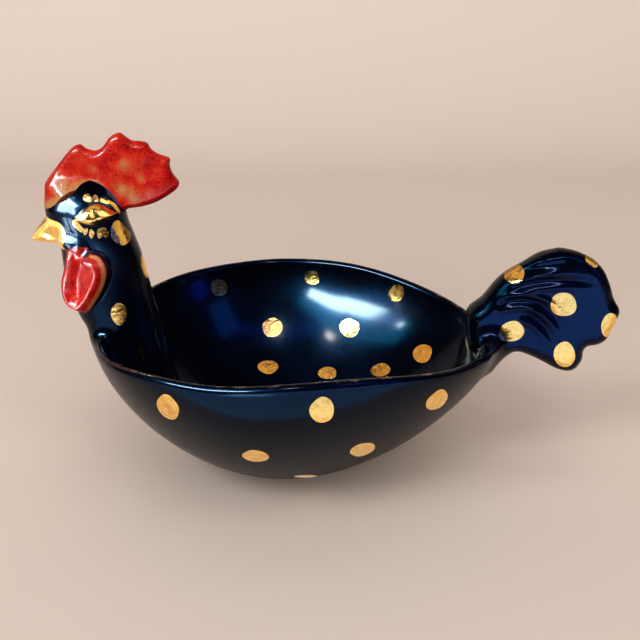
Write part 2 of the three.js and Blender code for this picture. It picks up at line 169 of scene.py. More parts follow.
TEAR_PIXELS = [
    (117.9, 220.2), (121.8, 222.9), (127.1, 229), (130.6, 233.6), (129.4, 241.2), (123.3, 245.4),
    (118, 243.5), (113, 239.7), (110.7, 235.1), (111, 228), (113.5, 222.5),
]

# Places on comb and wattle where the red glaze ran thin: centre, reach and strength, in pixels
THIN_SPOTS = [
    (64.5, 188.5, 11, 0.95), (76, 182.5, 7, 0.7), (93, 171, 6, 0.5), (124, 164.5, 6.5, 0.75),
    (141, 179.5, 5, 0.8), (122, 190, 8, 0.85), (134.5, 198, 8, 0.8), (148, 192, 6, 0.5),
    (80, 302.5, 4.5, 0.9),
]

# Places where the red of the wattle runs into the black of the chin
DARK_SPOTS = [(65, 242, 7.5, 1), (75, 244, 7, 0.95), (84, 254, 4.5, 1)]

# Dots seen in the photograph: centre, width, height and tilt (degrees), in pixels
DOTS_OUTSIDE = [
    (168, 407, 28, 18.5, 52), (322, 410, 25, 25, 0), (437, 400, 26, 15, -42),
    (255.5, 456, 26.5, 11.5, 6), (362.5, 449.5, 26, 12, -18), (306, 476.4, 22, 3, 0),
]
DOTS_INSIDE = [
    (219, 287.5, 17, 17, 0), (312, 278, 15, 14, 0), (396.5, 293, 15, 17, 20),
    (272.5, 327.5, 20, 19, 20), (349.5, 328, 19.5, 18.5, 0), (422.5, 353.5, 19.5, 18, -20),
    (268, 367, 21, 13, 4), (327.5, 373, 19, 12, 0), (380.5, 370, 20, 13, -14),
]
DOTS_NECK = [(119, 314, 16, 22, 0)]
DOTS_TAIL = [
    (514.5, 274, 21, 18.5, -40), (563.5, 304.5, 26, 24, 20), (511.5, 331.5, 26, 20, -24),
    (609, 324.5, 15, 24, 18), (564.5, 354.5, 21, 26, 0), (592, 261, 16, 10, 38),
]

# Dots that the photograph doesn't show: where a line starts, its way, and the dot's width, height and tilt
UNSEEN_OUTSIDE = [
    ((-62, 140, 52), (0, -1, 0), 10, 9, 20), ((0, 140, 51), (0, -1, 0), 9.5, 10, 0),
    ((46, 140, 48), (0, -1, 0), 10, 9, -20), ((-30, 140, 24), (0, -1, 0), 10, 9.5, 0),
    ((24, 140, 25), (0, -1, 0), 10, 9, 10), ((-140, -26, 36), (1, 0.1, 0), 9, 9.5, 0),
    ((-140, 26, 36), (1, -0.1, 0), 9, 9.5, 0),
]
UNSEEN_INSIDE = [
    ((-48, 0, 44), (0.1, -1, 0.05), 9, 9.5, 0), ((-8, 0, 42), (0, -1, 0), 9.5, 9, 0),
    ((30, 0, 44), (0.1, -1, 0.1), 9, 9, 0), ((-34, -20, 40), (0, 0, -1), 9.5, 9, 0),
    ((0, -10, 40), (0, 0, -1), 9.5, 9.5, 0), ((-53, 20, 45), (0, 0, -1), 8.5, 9, 0),
]
UNSEEN_NECK = [((-30, 0, 86), (-1, 0, 0), 8.5, 9.5, 0)]

# Painted gold: thickness of its edge as a share of its middle, and its reach into the glaze
FILM_EDGE = 0.25
FILM_ROOT = 0.25

# Each piece of clay: the form that makes it, the box it is meshed in, the pitch of its net and its slot
PIECES = {
    "bowl": ("bowl", ((-101, -80, -4), (76, 80, 74)), 1.1, "black_glaze"),
    "neck": ("column", ((-112, -24, 6), (-44, 24, 100)), 0.8, "black_glaze"),
    "head": ("column", ((-120, -20, 86), (-70, 20, 128)), 0.5, "black_glaze"),
    "comb": ("comb", ((-118, -9, 104), (-54, 9, 144)), 0.5, "red_glaze"),
    "beak": ("beak", ((-122, -15, 90), (-96, 15, 113)), 0.35, "gold_lustre"),
    "eyelid_left": ("eyelid", ((-104, -20, 100), (-76, -5, 120)), 0.35, "gold_lustre"),
    "eyelid_right": ("eyelid", ((-104, 5, 100), (-76, 20, 120)), 0.35, "gold_lustre"),
    "wattle_left": ("wattle", ((-117, -25, 60), (-80, 1, 106)), 0.45, "red_glaze"),
    "wattle_right": ("wattle", ((-117, -1, 60), (-80, 25, 106)), 0.45, "red_glaze"),
    "tail": ("tail", ((40, -18, 28), (124, 18, 100)), 0.75, "black_glaze"),
}

# Rings that close a joint's open loop, as shares of the way to its middle
CLOSING_RINGS = (0.5, 0.9)

# Floor that turns up into a wall behind, in metres
FLOOR_FRONT = -1.6
FLOOR_BEND = 0.55
BEND_RADIUS = 0.3
WALL_TOP = 1.5
FLOOR_HALF = 1.6

# Places that the panels of light face
FAR_WALL, MIDDLE, FACE = (0.008, 0.059, 0.046), (0.0, 0.0, 0.05), (-0.095, -0.012, 0.1)

# Panels of light: name, target, azimuth and elevation (degrees; 0 is the camera's side), distance, size,
# glow, colour, and for some the roll and the only pieces they light. Gloss alone sees the first list.
GLOSS_PANELS = [
    ("window", FAR_WALL, -46, 35, 1.1, (0.85, 0.14), 36, (0.78, 0.97, 1), -2, "all_but_feathers"),
    ("feather_card", (0.085, -0.006, 0.07), 12, 50, 1, (0.8, 0.1), 7, (0.72, 0.7, 1), 0, "feathers"),
    ("window_glow", FAR_WALL, -46, 40, 1.2, (1.1, 0.3), 2.8, (0.02, 0.55, 0.8), -4),
    ("spot_left", FAR_WALL, -45, 49, 1.1, (0.07, 0.05), 32, (1, 0.93, 0.95)),
    ("spot_middle", (-0.024, 0.058, 0.036), 4, 54, 1.1, (0.09, 0.06), 32, (1, 0.93, 0.9)),
    ("blue_over", MIDDLE, 2, 57, 1.3, (1.3, 0.12), 1, (0.02, 0.12, 1)),
    ("blue_corner", MIDDLE, 52, 42, 1.3, (0.3, 0.4), 1.5, (0.02, 0.25, 0.9)),
    ("blue_side", MIDDLE, 62, 16, 1.3, (0.24, 0.5), 1.5, (0.01, 0.1, 1)),
    ("low_card", (0, -0.2, 0.001), 0, -90, -0.002, (0.7, 0.22), 0.6, (0.02, 0.4, 0.8)),
    ("low_card_far", (0, -0.26, 0.002), 0, -90, -0.002, (0.8, 0.22), 0.5, (0.03, 0.3, 0.8)),
    ("low_strip", (-0.062, -0.2, 0.003), 0, -90, -0.002, (0.07, 0.1), 2.4, (0.6, 0.85, 1)),
    ("brow_card", (-0.097, -0.011, 0.113), -52, 24, 0.4, (0.4, 0.26), 20, (0.86, 0.96, 1), 0, "head"),
    ("chin_card", FACE, -26, 16, 0.4, (0.1, 0.1), 16, (0.9, 0.96, 1), 0, "head"),
    ("wattle_card", (-0.097, -0.016, 0.075), -40, -28, 0.11, (0.07, 0.04), 24, (1, 0.95, 1), 0, "wattles"),
    ("cheek_card", FACE, -50, -18, 0.22, (0.1, 0.1), 9, (0.8, 0.93, 1), 0, "head"),
    ("lid_card", FACE, 55, 36, 0.5, (0.6, 0.3), 1.6, (1, 0.93, 0.8), 0, "head"),
    ("warm_over", MIDDLE, 180, 80, 1.2, (1.3, 1.3), 0.6, (1, 0.75, 0.4), 0, "gilded"),
    ("warm_left", MIDDLE, -112, 32, 1.2, (1, 0.9), 0.5, (1, 0.66, 0.3), 0, "gilded"),
    ("warm_right", MIDDLE, 92, 22, 1.2, (0.7, 1), 0.7, (1, 0.84, 0.55), 0, "gilded"),
    ("pale_front", (0, -0.27, 0.001), 0, -90, -0.002, (1, 0.4), 0.4, (0.75, 0.8, 1), 0, "gilded"),
    ("feather_floor", (0.09, -0.2, 0.003), 0, -90, -0.002, (0.5, 0.3), 0.65, (0.02, 0.14, 1), 0, "feathers"),
    ("pale_floor", (0, 0, 0), 0, -90, -0.002, (2, 2), 0.45, (1, 0.86, 0.7), 0, "gilded"),
    ("beak_card", FACE, -88, -1, 0.4, (0.56, 0.18), 1, (1, 0.94, 0.8), 0, "gilded"),
]
SOFT_PANELS = [
    ("window_light", MIDDLE, -43, 38, 2.2, (1.2, 0.8), 5.9, (0.96, 0.98, 1)),
    ("fill_front", MIDDLE, 15, 50, 3, (2.4, 2.4), 1.65, (1, 0.98, 0.96)),
    ("fill_low", MIDDLE, -8, 14, 1.6, (1.6, 0.5), 6, (1, 0.97, 0.94), 0, "ground"),
    ("fill_over", MIDDLE, 40, 80, 2.5, (2, 2), 0.4, (1, 0.98, 0.96)),
    ("fill_wall", (0, 0.85, 0.3), 0, 50, 0.9, (1.4, 0.5), 0.6, (1, 1, 1)),
]


def length_of(name, description, default):
    return FloatProperty(
        name=name, description=description, default=default, subtype="DISTANCE", unit="LENGTH")


def colour_of(name, description, default):
    return FloatVectorProperty(
        name=name, description=description, default=default, subtype="COLOR", size=3, min=0.0, max=1.0)


def cad_width(name):
    """How far a CAD node reaches across the bird, to 0.01 mm."""
    low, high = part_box(name)
    return round(high.y - low.y, 5)


class RoosterSizes(bpy.types.PropertyGroup):
    """Sizes of the clay pieces and of the painted gold"""

    bowl_height: length_of("Bowl height", "Table to rim at the widest section", 0.0665)
    wall: length_of("Bowl wall", "Thickness of the bowl's wall", 0.004)
    floor: length_of("Bowl floor", "Thickness of the bowl's floor", 0.005)
    joint_height: length_of(
        "Joint height", "Table to the joint of neck and head", round(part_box("head")[0].z, 5))
    comb_thickness: length_of("Comb thickness", "Thickness of the comb's slab", cad_width("comb"))
    tail_thickness: length_of("Tail thickness", "Thickness of the tail at its root", cad_width("tail"))
    groove_depth: length_of("Groove depth", "Depth of the grooves between the feathers", 0.0012)
    film: length_of("Gold film", "How far the painted gold stands off the glaze", 0.00012)


class RoosterColours(bpy.types.PropertyGroup):
    """Colours of the glazes and of the stage"""

    black: colour_of("Black glaze", "Body colour of the blue-black glaze", (0.0016, 0.0022, 0.006))
    worn: colour_of("Worn rim", "Rosy bronze where the glaze is thin on the rim", (0.30, 0.17, 0.12))
    bare: colour_of("Bare clay", "Unglazed clay under the foot", (0.62, 0.50, 0.38))
    red: colour_of("Red glaze", "Body colour of the red glaze", (0.68, 0.012, 0.004))
    clay: colour_of("Thin glaze", "Warm cream where the red glaze runs thin", (0.70, 0.34, 0.13))
    run: colour_of("Run glaze", "Purple-black where the red glaze runs into the black", (0.03, 0.006, 0.03))
    speck: colour_of("Specks", "Iron specks in the red glaze", (0.05, 0.01, 0.012))
    gold: colour_of("Gold lustre", "Colour of the fired gold", (0.94, 0.61, 0.22))
    floor: colour_of("Floor", "Colour of the plain floor", (0.76, 0.64, 0.56))


# Outlines


def closed_curve(points, steps=8):
    """A smooth closed curve through the points."""
    points = np.asarray(points, float)
    before, after, beyond = np.roll(points, 1, 0), np.roll(points, -1, 0), np.roll(points, -2, 0)
    share = (np.arange(steps) / steps)[None, :, None]
    p0, p1, p2, p3 = (p[:, None, :] for p in (before, points, after, beyond))
    curve = 0.5 * (
        2 * p1 + (p2 - p0) * share + (2 * p0 - 5 * p1 + 4 * p2 - p3) * share**2
        + (3 * p1 - p0 - 3 * p2 + p3) * share**3
    )
    return curve.reshape(-1, points.shape[1])


def open_curve(points, steps):
    """A smooth curve from the first point to the last."""
    points = np.asarray(points, float)
    ends = np.vstack([2 * points[0] - points[1], points, 2 * points[-1] - points[-2]])
    return np.vstack([closed_curve(ends, steps)[steps : steps * len(points)], points[-1:]])


def rising(value, start, reach):
    """0 up to a start and 1 from a reach beyond it. A reach below nought counts the other way."""
    return np.clip((value - start) / reach, 0, 1)


def hump(value, width):
    """A smooth hump of height 1 round nought."""
    return np.exp(-((value / width) ** 2))


def unit(vectors):
    """Vectors of the same directions and of length 1."""
    return vectors / np.maximum(np.linalg.norm(vectors, axis=-1, keepdims=True), 1e-12)


def to_segment(points, start, end):
    """How far along a straight segment each point lies, from 0 to 1, and its distance from it."""
    along = end - start
    share = np.clip((points - start) @ along / max(along @ along, 1e-12), 0, 1)
    return share, np.linalg.norm(points - start - share[:, None] * along, axis=1)


def to_segments(points, starts, ends):
    """Least distance from each point to a set of straight segments."""
    best = np.full(len(points), np.inf)
    for start, end in zip(starts, ends):
        best = np.minimum(best, to_segment(points, start, end)[1])
    return best


def inside_outline(points, outline):
    """Which points lie inside a closed outline."""
    inside = np.zeros(len(points), bool)
    for (x0, z0), (x1, z1) in zip(outline, np.roll(outline, -1, 0)):
        if z0 == z1:
            continue
        crosses = (z0 > points[:, 1]) != (z1 > points[:, 1])
        inside ^= crosses & (points[:, 0] < x0 + (points[:, 1] - z0) * (x1 - x0) / (z1 - z0))
    return inside


class Sheet:
    """A smooth function on a plane, kept on a grid and read with a cubic blend."""

    def __init__(self, function, low, high, step=0.4):
        self.low = np.asarray(low, float)
        self.step = step
        self.size = np.ceil((np.asarray(high, float) - self.low) / step).astype(int) + 1
        lines = (self.low[i] + step * np.arange(self.size[i]) for i in (0, 1))
        across, up = np.meshgrid(*lines, indexing="ij")
        self.values = function(np.stack([across.ravel(), up.ravel()], 1)).reshape(across.shape)

    def __call__(self, across, up):
        place = np.stack([(across - self.low[0]) / self.step, (up - self.low[1]) / self.step])
        place = np.clip(place, 1.001, (self.size - 2.001)[:, None])
        cell = place.astype(int)
        t = place - cell
        weights = [
            (1 - t) ** 3 / 6, (3 * t**3 - 6 * t**2 + 4) / 6, (-3 * t**3 + 3 * t**2 + 3 * t + 1) / 6,
            t**3 / 6]
        total = np.zeros(across.shape)
        for i in range(4):
            for j in range(4):
                total += weights[i][0] * weights[j][1] * self.values[cell[0] + i - 1, cell[1] + j - 1]
        return total


def outline_sheet(points, margin=9.0, step=0.4):
    """Distance from a smooth closed outline, negative inside it."""
    outline = closed_curve(points)

    def distance(where):
        far = to_segments(where, outline, np.roll(outline, -1, 0))
        return np.where(inside_outline(where, outline), -far, far)

    return Sheet(distance, outline.min(0) - margin, outline.max(0) + margin, step)


def height_curve(knots):
    """A smooth function through (height, value) knots, straight beyond its ends."""
    z, value = (np.array(column, float) for column in zip(*knots))
    gaps = np.diff(z)
    slopes = np.diff(value) / gaps
    matrix = np.diag(np.r_[1.0, 2 * (gaps[:-1] + gaps[1:]), 1.0])
    for i in range(1, len(z) - 1):
        matrix[i, i - 1], matrix[i, i + 1] = gaps[i - 1], gaps[i]
    bend = np.linalg.solve(matrix, np.r_[0.0, 6 * np.diff(slopes), 0.0])

    def curve(height):
        i = np.clip(np.searchsorted(z, height) - 1, 0, len(gaps) - 1)
        gap, held = gaps[i], np.clip(height, z[0], z[-1])
        a, b = z[i + 1] - held, held - z[i]
        return (
            (bend[i] * a**3 + bend[i + 1] * b**3) / (6 * gap)
            + (value[i] / gap - bend[i] * gap / 6) * a
            + (value[i + 1] / gap - bend[i + 1] * gap / 6) * b
        )

    return curve


# Fields


def join(a, b, reach):
    """Union of two forms with clay smoothed into the corner."""
    blend = np.maximum(reach - np.abs(a - b), 0) / reach
    return np.minimum(a, b) - blend**2 * reach / 4


def meet(a, b, reach):
    """Common part of two forms with the edge eased."""
    return -join(-a, -b, reach)


def round_edge(a, b, radius):
    """Common part of two forms, its edge turned to a radius."""
    a, b = a + radius, b + radius
    return np.minimum(np.maximum(a, b), 0) + np.hypot(np.maximum(a, 0), np.maximum(b, 0)) - radius


def pillow(distance, out, reach, half):
    """A slab inside an outline, `half` thick each way, whose sides round off over `reach`."""
    return np.hypot(np.maximum(distance + reach, 0), out * reach / half) - reach


def hand(points, period, seed):
    """Slow unevenness of hand-made clay, between about -1 and 1."""
    random = np.random.default_rng(seed)
    total = np.zeros(len(points))
    for _ in range(5):
        wave = random.normal(size=3)
        wave *= 2 * math.pi / (period * random.uniform(0.8, 1.4) * np.linalg.norm(wave))
        total += np.sin(points @ wave + random.uniform(0, 2 * math.pi))
    return total / 2.5


def pixel_rays(pixels):
    """Directions from the camera through pixels of the photograph."""
    pixels = np.asarray(pixels, float).reshape(-1, 2)
    ahead = np.array([0.0, math.cos(CAMERA_PITCH), -math.sin(CAMERA_PITCH)])
    up = np.array([0.0, math.sin(CAMERA_PITCH), math.cos(CAMERA_PITCH)])
    middle = PICTURE_SIDE / 2
    right = np.array([1.0, 0.0, 0.0])
    return unit(ahead * CAMERA_FOCUS + (pixels[:, :1] - middle) * right + (middle - pixels[:, 1:]) * up)


def onto_plane(pixels, place, out):
    """Where the rays through pixels meet a plane."""
    rays = pixel_rays(pixels)
    return CAMERA_PLACE + rays * (((place - CAMERA_PLACE) @ out) / (rays @ out))[:, None]


def spotted(across, up, places, spots):
    """The strongest of some soft spots at each point."""
    total = np.zeros(len(across))
    for place, (_, _, reach, strength) in zip(places, spots):
        far = np.hypot(across - place[0], up - place[1])
        total = np.maximum(total, strength * hump(far, reach * PIXEL))
    return total


class Clay:
    """The forms of the bird. Each method gives the field of one form at an array of points."""

    def __init__(self, sizes):
        self.height = sizes.bowl_height / MM
        self.wall = sizes.wall / MM
        self.floor = sizes.floor / MM
        self.joint = sizes.joint_height / MM
        self.comb_half = sizes.comb_thickness / MM / 2
        self.tail_half = sizes.tail_thickness / MM / 2
        self.groove = sizes.groove_depth / MM
        share = FOOT_RADIUS / BELLY_RADIUS
        rise = 1 - (1 - share**WIDTH_POWER) ** (1 / HEIGHT_POWER)
        self.dip = self.height * rise / (1 - rise)

        self.neck_front = height_curve([
            (10, -60), (20, -73), (30, -83.5), (40, -90.3), (49.5, -94.6), (54.9, -96.2), (60.6, -98.4),
            (65.4, -101.2), (72, -103.6), (80, -105.6), (87.2, -106.6), (93, -106.9), (97, -107.6),
            (101, -109.2), (105, -111.0), (108.5, -111.8), (123, -112.0)])
        self.neck_back = height_curve([
            (10, -50), (20, -57.5), (30, -61.5), (40, -64.3), (50, -66.3), (60, -68.4), (68, -70.4),
            (74.5, -72.0), (84.3, -73.9), (92.7, -76.0), (100.1, -78.5), (105, -80.0), (108.5, -80.6),
            (123, -80.6)])
        self.neck_side = height_curve([
            (10, 17.5), (25, 16.4), (40, 15.6), (55, 14.9), (65, 14.2), (76, 13.4), (86, 12.9), (94, 13.1),
            (101, 13.7), (108.5, 13.8), (123, 13.8)])

        self.comb_sheet = outline_sheet(COMB_OUTLINE)
        self.beak_sheet = outline_sheet(BEAK_OUTLINE, 6.0, 0.25)
        self.tail_sheet = outline_sheet(TAIL_OUTLINE)
        low, high = np.min(TAIL_OUTLINE, 0) - 6, np.max(TAIL_OUTLINE, 0) + 6
        self.tail_depth = Sheet(self.feather_depth, low, high)
        self.place_wattle()
        self.place_eyelid()

    def shell(self, p, inset, lift):
        """Distance from the outside face (no inset) or the inside face of the bowl, and the rim's height."""
        x, y, z = p.T
        x = x - WIDEST_X
        out = np.full(len(p), 0.6)
        belly = BELLY_RADIUS - inset
        for _ in range(7):
            u = x - BELLY_SHIFT * (1 - out)
            reach = np.where(u > 0, TAIL_REACH, HEAD_REACH) - inset
            spread = belly * out * (1 - out)
            long_half = reach * out * out + spread
            wide_half = (SIDE_REACH - inset) * out * out + spread
            a, b = np.abs(u) / long_half, np.abs(y) / wide_half
            ease = rising(u, 0, 30) ** 2 * (3 - 2 * rising(u, 0, 30))
            power = 2 - (2 - TAIL_PLAN_POWER) * ease
            out = np.clip(out * (a**power + b**power) ** (1 / power), 0.02, 3.0)
        along = np.sign(u) * a / np.maximum(np.hypot(a, b), 1e-9)
        across = b / np.maximum(np.hypot(a, b), 1e-9)
        angle = np.arctan2(across, along)
        drop = np.where(along > 0, TAIL_DROP * np.abs(along) ** 2.4, HEAD_DROP * along**2)
        rim = self.height - drop + RIM_WAVE * across**2 * np.cos(5 * angle)
        rim = rim + 0.35 * across**2 * hand(p * [1, 1, 0], 38.0, 3)
        top, base = rim - self.wall / 2, lift - self.dip
        share = rising(z, base, top - base)
        wall_out = (1 - (1 - share) ** HEIGHT_POWER) ** (1 / WIDTH_POWER)
        radial = (wall_out - out) * np.hypot(u, y) / out
        face = base + (top - base) * (1 - (1 - np.minimum(out, 1) ** WIDTH_POWER) ** (1 / HEIGHT_POWER))
        above = z - face
        within = np.sign(radial) * np.abs(above * radial) / np.sqrt(above**2 + radial**2 + 1e-9)
        return np.where(out < 1, -within, -radial), rim

    def bowl(self, p):
        outside, rim = self.shell(p, 0.0, 0.0)
        cavity, _ = self.shell(p, self.wall, self.floor)
        cavity = meet(cavity, self.floor - p[:, 2], 5.0)
        outside = meet(outside, -p[:, 2], 1.6)
        uneven = 0.22 * hand(p, 55.0, 11) * rising(p[:, 2], 6, 10)
        wall = np.maximum(outside + uneven, -cavity + uneven)
        bowl = round_edge(wall, p[:, 2] - rim, self.wall / 2 + 0.1)
        centre = WIDEST_X + BELLY_SHIFT
        hollow = meet(np.hypot(p[:, 0] - centre, p[:, 1]) - HOLLOW_RADIUS, p[:, 2] - HOLLOW_DEPTH, 1.2)
        return meet(bowl, -hollow, 0.8)

    def column(self, p):
        """Neck and head in one."""
        x, y, z = p.T
        front, back, side = self.neck_front(z), self.neck_back(z), self.neck_side(z)
        half = (back - front) / 2
        a = (x - front - half) / half
        b = y / side
        face = rising(z, 92, 10) * rising(a, 0, -0.3)
        ring = (np.abs(a) ** (COLUMN_POWER - 0.6 * face) + np.abs(b) ** COLUMN_POWER) ** (1 / COLUMN_POWER)
        rise = np.clip(z - CROWN_START, 0, None) / (CROWN_TOP - CROWN_START)
        closed = (ring**1.85 + rise**2.05) ** (1 / 1.95)
        ring = np.where(rise > 0, closed, ring ** (1.85 / 1.95))
        column = meet((ring - 1) * COLUMN_HALF, COLUMN_FOOT - z, 8.0)
        chin = (np.stack([x, np.abs(y), z], 1) - CHIN_PLACE) / CHIN_SIZE
        return join(column, (np.linalg.norm(chin, axis=1) - 1) * CHIN_SIZE.min(), 2.2)

    def side_frame(self, x, z):
        """A place on the left side of the column, with the directions along it, out of it and up it."""
        def skin(height):
            front, back, side = (float(c(np.array([height]))[0]) for c in (
                self.neck_front, self.neck_back, self.neck_side))
            half = (back - front) / 2
            a = (x - front - half) / half
            return half, side, a, side * max(1 - abs(a) ** COLUMN_POWER, 0.01) ** (1 / COLUMN_POWER)
        half, side, a, y = skin(z)
        slope = (skin(z + 1)[3] - skin(z - 1)[3]) / 2
        out = unit(np.array([a / half, -y / side**2, -slope * y / side**2]))
        up = unit(np.array([0, 0, 1.0]) - out * out[2])
        return np.array([x, -y, z]), np.cross(up, out), out, up

    def place_wattle(self):
        place, along, out, up = self.side_frame(-97.5, 83.5)
        self.wattle_frame = place, along, out, up
        outline = self.wattle_flat(WATTLE_PIXELS)
        mark = open_curve(self.wattle_flat(WATTLE_MARK_PIXELS), 5)
        self.wattle_sheet = outline_sheet(outline, 7.0, 0.3)
        low, high = outline.min(0) - 7, outline.max(0) + 7
        self.wattle_mark = Sheet(lambda where: to_segments(where, mark[:-1], mark[1:]), low, high, 0.3)

    def wattle_flat(self, pixels):
        """Places on the left wattle's face from pixels of the photograph."""
        place, along, out, up = self.wattle_frame
        points = onto_plane(pixels, place + 2.5 * out, out) - place - 2.5 * out
        return np.stack([points @ along, points @ up], 1)

    def wattle_place(self, p):
        """Places along, out of and up the nearer wattle."""
        place, along, out, up = self.wattle_frame
        local = p * [1, 0, 1] - np.abs(p[:, 1:2]) * [0, 1, 0] - place
        return local @ along, local @ out, local @ up

    def wattle(self, p):
        """Both wattles, each a fat loop of clay round a thumb mark."""
        a, o, u = self.wattle_place(p)
        edge = self.wattle_sheet(a, u)
        loop = hump(edge + 3.2, 2.4) * rising(u, 15.5, -6)
        mark = hump(self.wattle_mark(a, u), 1.6)
        half = WATTLE_HALF + WATTLE_LOOP * loop - 0.06 * np.clip(u, 0, 20)
        half = half + 0.2 * hand(p, 9.0, 5) - THUMB_MARK * mark
        return pillow(edge, o + 0.4, ROUNDING["wattle"], np.maximum(half, 1.2))

    def place_eyelid(self):
        points = onto_plane(EYELID_PIXELS, np.array([0, -13.6, 0]), np.array([0, 1.0, 0]))
        self.eyelid_sheet = outline_sheet(points[:, [0, 2]], 6.0, 0.2)

    def eyelid(self, p):
        """Both closed eyelids, an almond that follows the skin of the head, with a soft fold in it."""
        x, y, z = p.T
        fold = hump(x + 89.5 + 0.55 * (z - 110), 1.5)
        half = EYELID_HALF - EYELID_FOLD * fold + 0.15 * hand(p, 6.0, 8)
        lid = pillow(self.eyelid_sheet(x, z) + 0.2, self.column(p), ROUNDING["eyelid"], half)
        return np.where(np.abs(y) > 4, lid, 20.0)

    def comb(self, p):
        x, y, z = p.T
        half = self.comb_half * (1.02 - COMB_TAPER * rising(z, 112, 26)) + 0.28 * hand(p, 13.0, 21)
        half = half + 2.6 * hump(x + 104, 8) * hump(z - 117.5, 4.5)
        return pillow(self.comb_sheet(x, z), y, ROUNDING["comb"], half)

    def beak(self, p):
        x, y, z = p.T
        hollow = hump(x + 110, 3.4) * hump(z - 100.3, 1.7)
        half = np.clip(1.0 + 0.64 * (x + 118.5), 1.0, 10.5)
        return pillow(self.beak_sheet(x, z), y, ROUNDING["beak"], half * (1 - 0.22 * hollow))

    def feather_depth(self, where):
        """How much the pressed grooves and the fingers between them change the tail's half thickness."""
        depth = np.zeros(len(where))
        for groove in FEATHER_GROOVES:
            line = open_curve(groove, 6)
            along = np.linspace(0, 1, len(line))
            best, share = np.full(len(where), np.inf), np.zeros(len(where))
            for i in range(len(line) - 1):
                t, far = to_segment(where, line[i], line[i + 1])
                share = np.where(far < best, along[i] + t * (along[i + 1] - along[i]), share)
                best = np.minimum(best, far)
            fade = rising(share, 0, 0.2) * rising(share, 1.02, -0.5)
            depth += fade * (hump(best, 1.35) - 0.55 * hump(best - 2.9, 1.25))
        return depth

    def tail(self, p):
        x, y, z = p.T
        half = self.tail_half * (1 - TAIL_TAPER * rising(x, 56, 62)) - self.groove * self.tail_depth(x, z)
        half = np.maximum(half + 0.2 * hand(p, 24.0, 31), 1.5)
        return pillow(self.tail_sheet(x, z), y, ROUNDING["tail"], half)

    def finish_marks(self, form, p):
        """Where the glaze of a piece is worn or thin, and where it runs into the next glaze, from 0 to 1."""
        if form == "bowl":
            _, rim = self.shell(p, 0.0, 0.0)
            fields = self.forms(p)
            clear = rising(np.minimum(fields["tail"], fields["column"]), 3, 4)
            return {"Worn": rising(p[:, 2] - rim, -1.3, 1.1) * clear}
        if form not in ("comb", "wattle"):
            return {}
        places = onto_plane(np.array(THIN_SPOTS)[:, :2], np.array([0, -4.0, 0]), np.array([0, 1.0, 0]))
        thin = spotted(p[:, 0], p[:, 2], places[:, [0, 2]], THIN_SPOTS)
        if form == "comb":
            thin = thin * rising(np.abs(p[:, 1]), 0, 1.5)
            border = np.abs(self.column(p)) + np.clip((p[:, 0] + 88) / 4, 0, 4)
            return {"Thin": np.maximum(thin, hump(border, 0.9)), "Dark": np.zeros(len(p))}
        a, o, u = self.wattle_place(p)
        rear = rising(a, 1.0, 2.5)
        edge = rising(self.wattle_sheet(a, u), -1.15, 0.4) * rear * rising(o, 0.5, 0.4)
        places = self.wattle_flat(np.array(DARK_SPOTS)[:, :2])
        dark = np.maximum(rising(o, 0.7, -0.7) * rear, spotted(a, u, places, DARK_SPOTS))
        return {"Thin": np.maximum(thin, edge * (1 - dark)), "Dark": dark}

    # Form, box that holds it with room for its joints, and how far its joint is smoothed
    FORMS = {
        "bowl": ((-102, -84, -8), (76, 84, 76), 0.0),
        "column": ((-124, -28, 4), (-42, 28, 132), 7.0),
        "tail": ((38, -20, 26), (128, 20, 104), 9.0),
        "comb": ((-121, -13, 98), (-50, 13, 150), 2.2),
        "beak": ((-126, -16, 88), (-92, 16, 116), 2.0),
        "wattle": ((-120, -26, 58), (-78, 26, 108), 1.4),
        "eyelid": ((-106, -20, 96), (-72, 20, 124), 0.5),
    }

    def forms(self, p):
        """The field of each form at the points, far off wherever the form doesn't reach."""
        fields = {}
        for name, (low, high, _) in self.FORMS.items():
            near = np.all((p > low) & (p < high), axis=1)
            field = np.full(len(p), 30.0)
            if near.any():
                field[near] = getattr(self, name)(p[near])
            fields[name] = field
        return fields

    def spread(self, p):
        """How far the glaze of a form runs past its joint."""
        x, z = p[:, 0], p[:, 2]
        brow = 2.2 * rising(x, -93, -5) * rising(z, 110, 2)
        cheek = 1.6 * rising(x, -101, -3) * rising(z, 109.5, -2)
        return {"comb": brow, "beak": cheek}

    def body(self, p):
        """The whole bird, with the clay of each joint smoothed."""
        fields = self.forms(p)
        total = fields.pop("bowl")
        for name, field in fields.items():
            total = join(total, field, self.FORMS[name][2])
        return total


# Meshes


def slope_of(field, p, step=0.05):
    """Value and gradient of a field."""
    value = field(p)
    gradient = np.stack([(field(p + step * axis) - value) / step for axis in np.eye(3)], 1)
    return value, gradient


def settle(field, p, rounds):
    """Move points onto the surface of a field."""
    for _ in range(rounds):
        value, gradient = slope_of(field, p)
        move = value[:, None] * gradient / np.maximum((gradient**2).sum(1), 0.05)[:, None]
        length = np.linalg.norm(move, axis=1, keepdims=True)
        p = p - move * np.minimum(1, 1.0 / np.maximum(length, 1e-9))
    return p


def outward(field, p, step=0.12):
    """Unit normals of a field's surface."""
    return unit(np.stack([field(p + step * axis) - field(p - step * axis) for axis in np.eye(3)], 1))


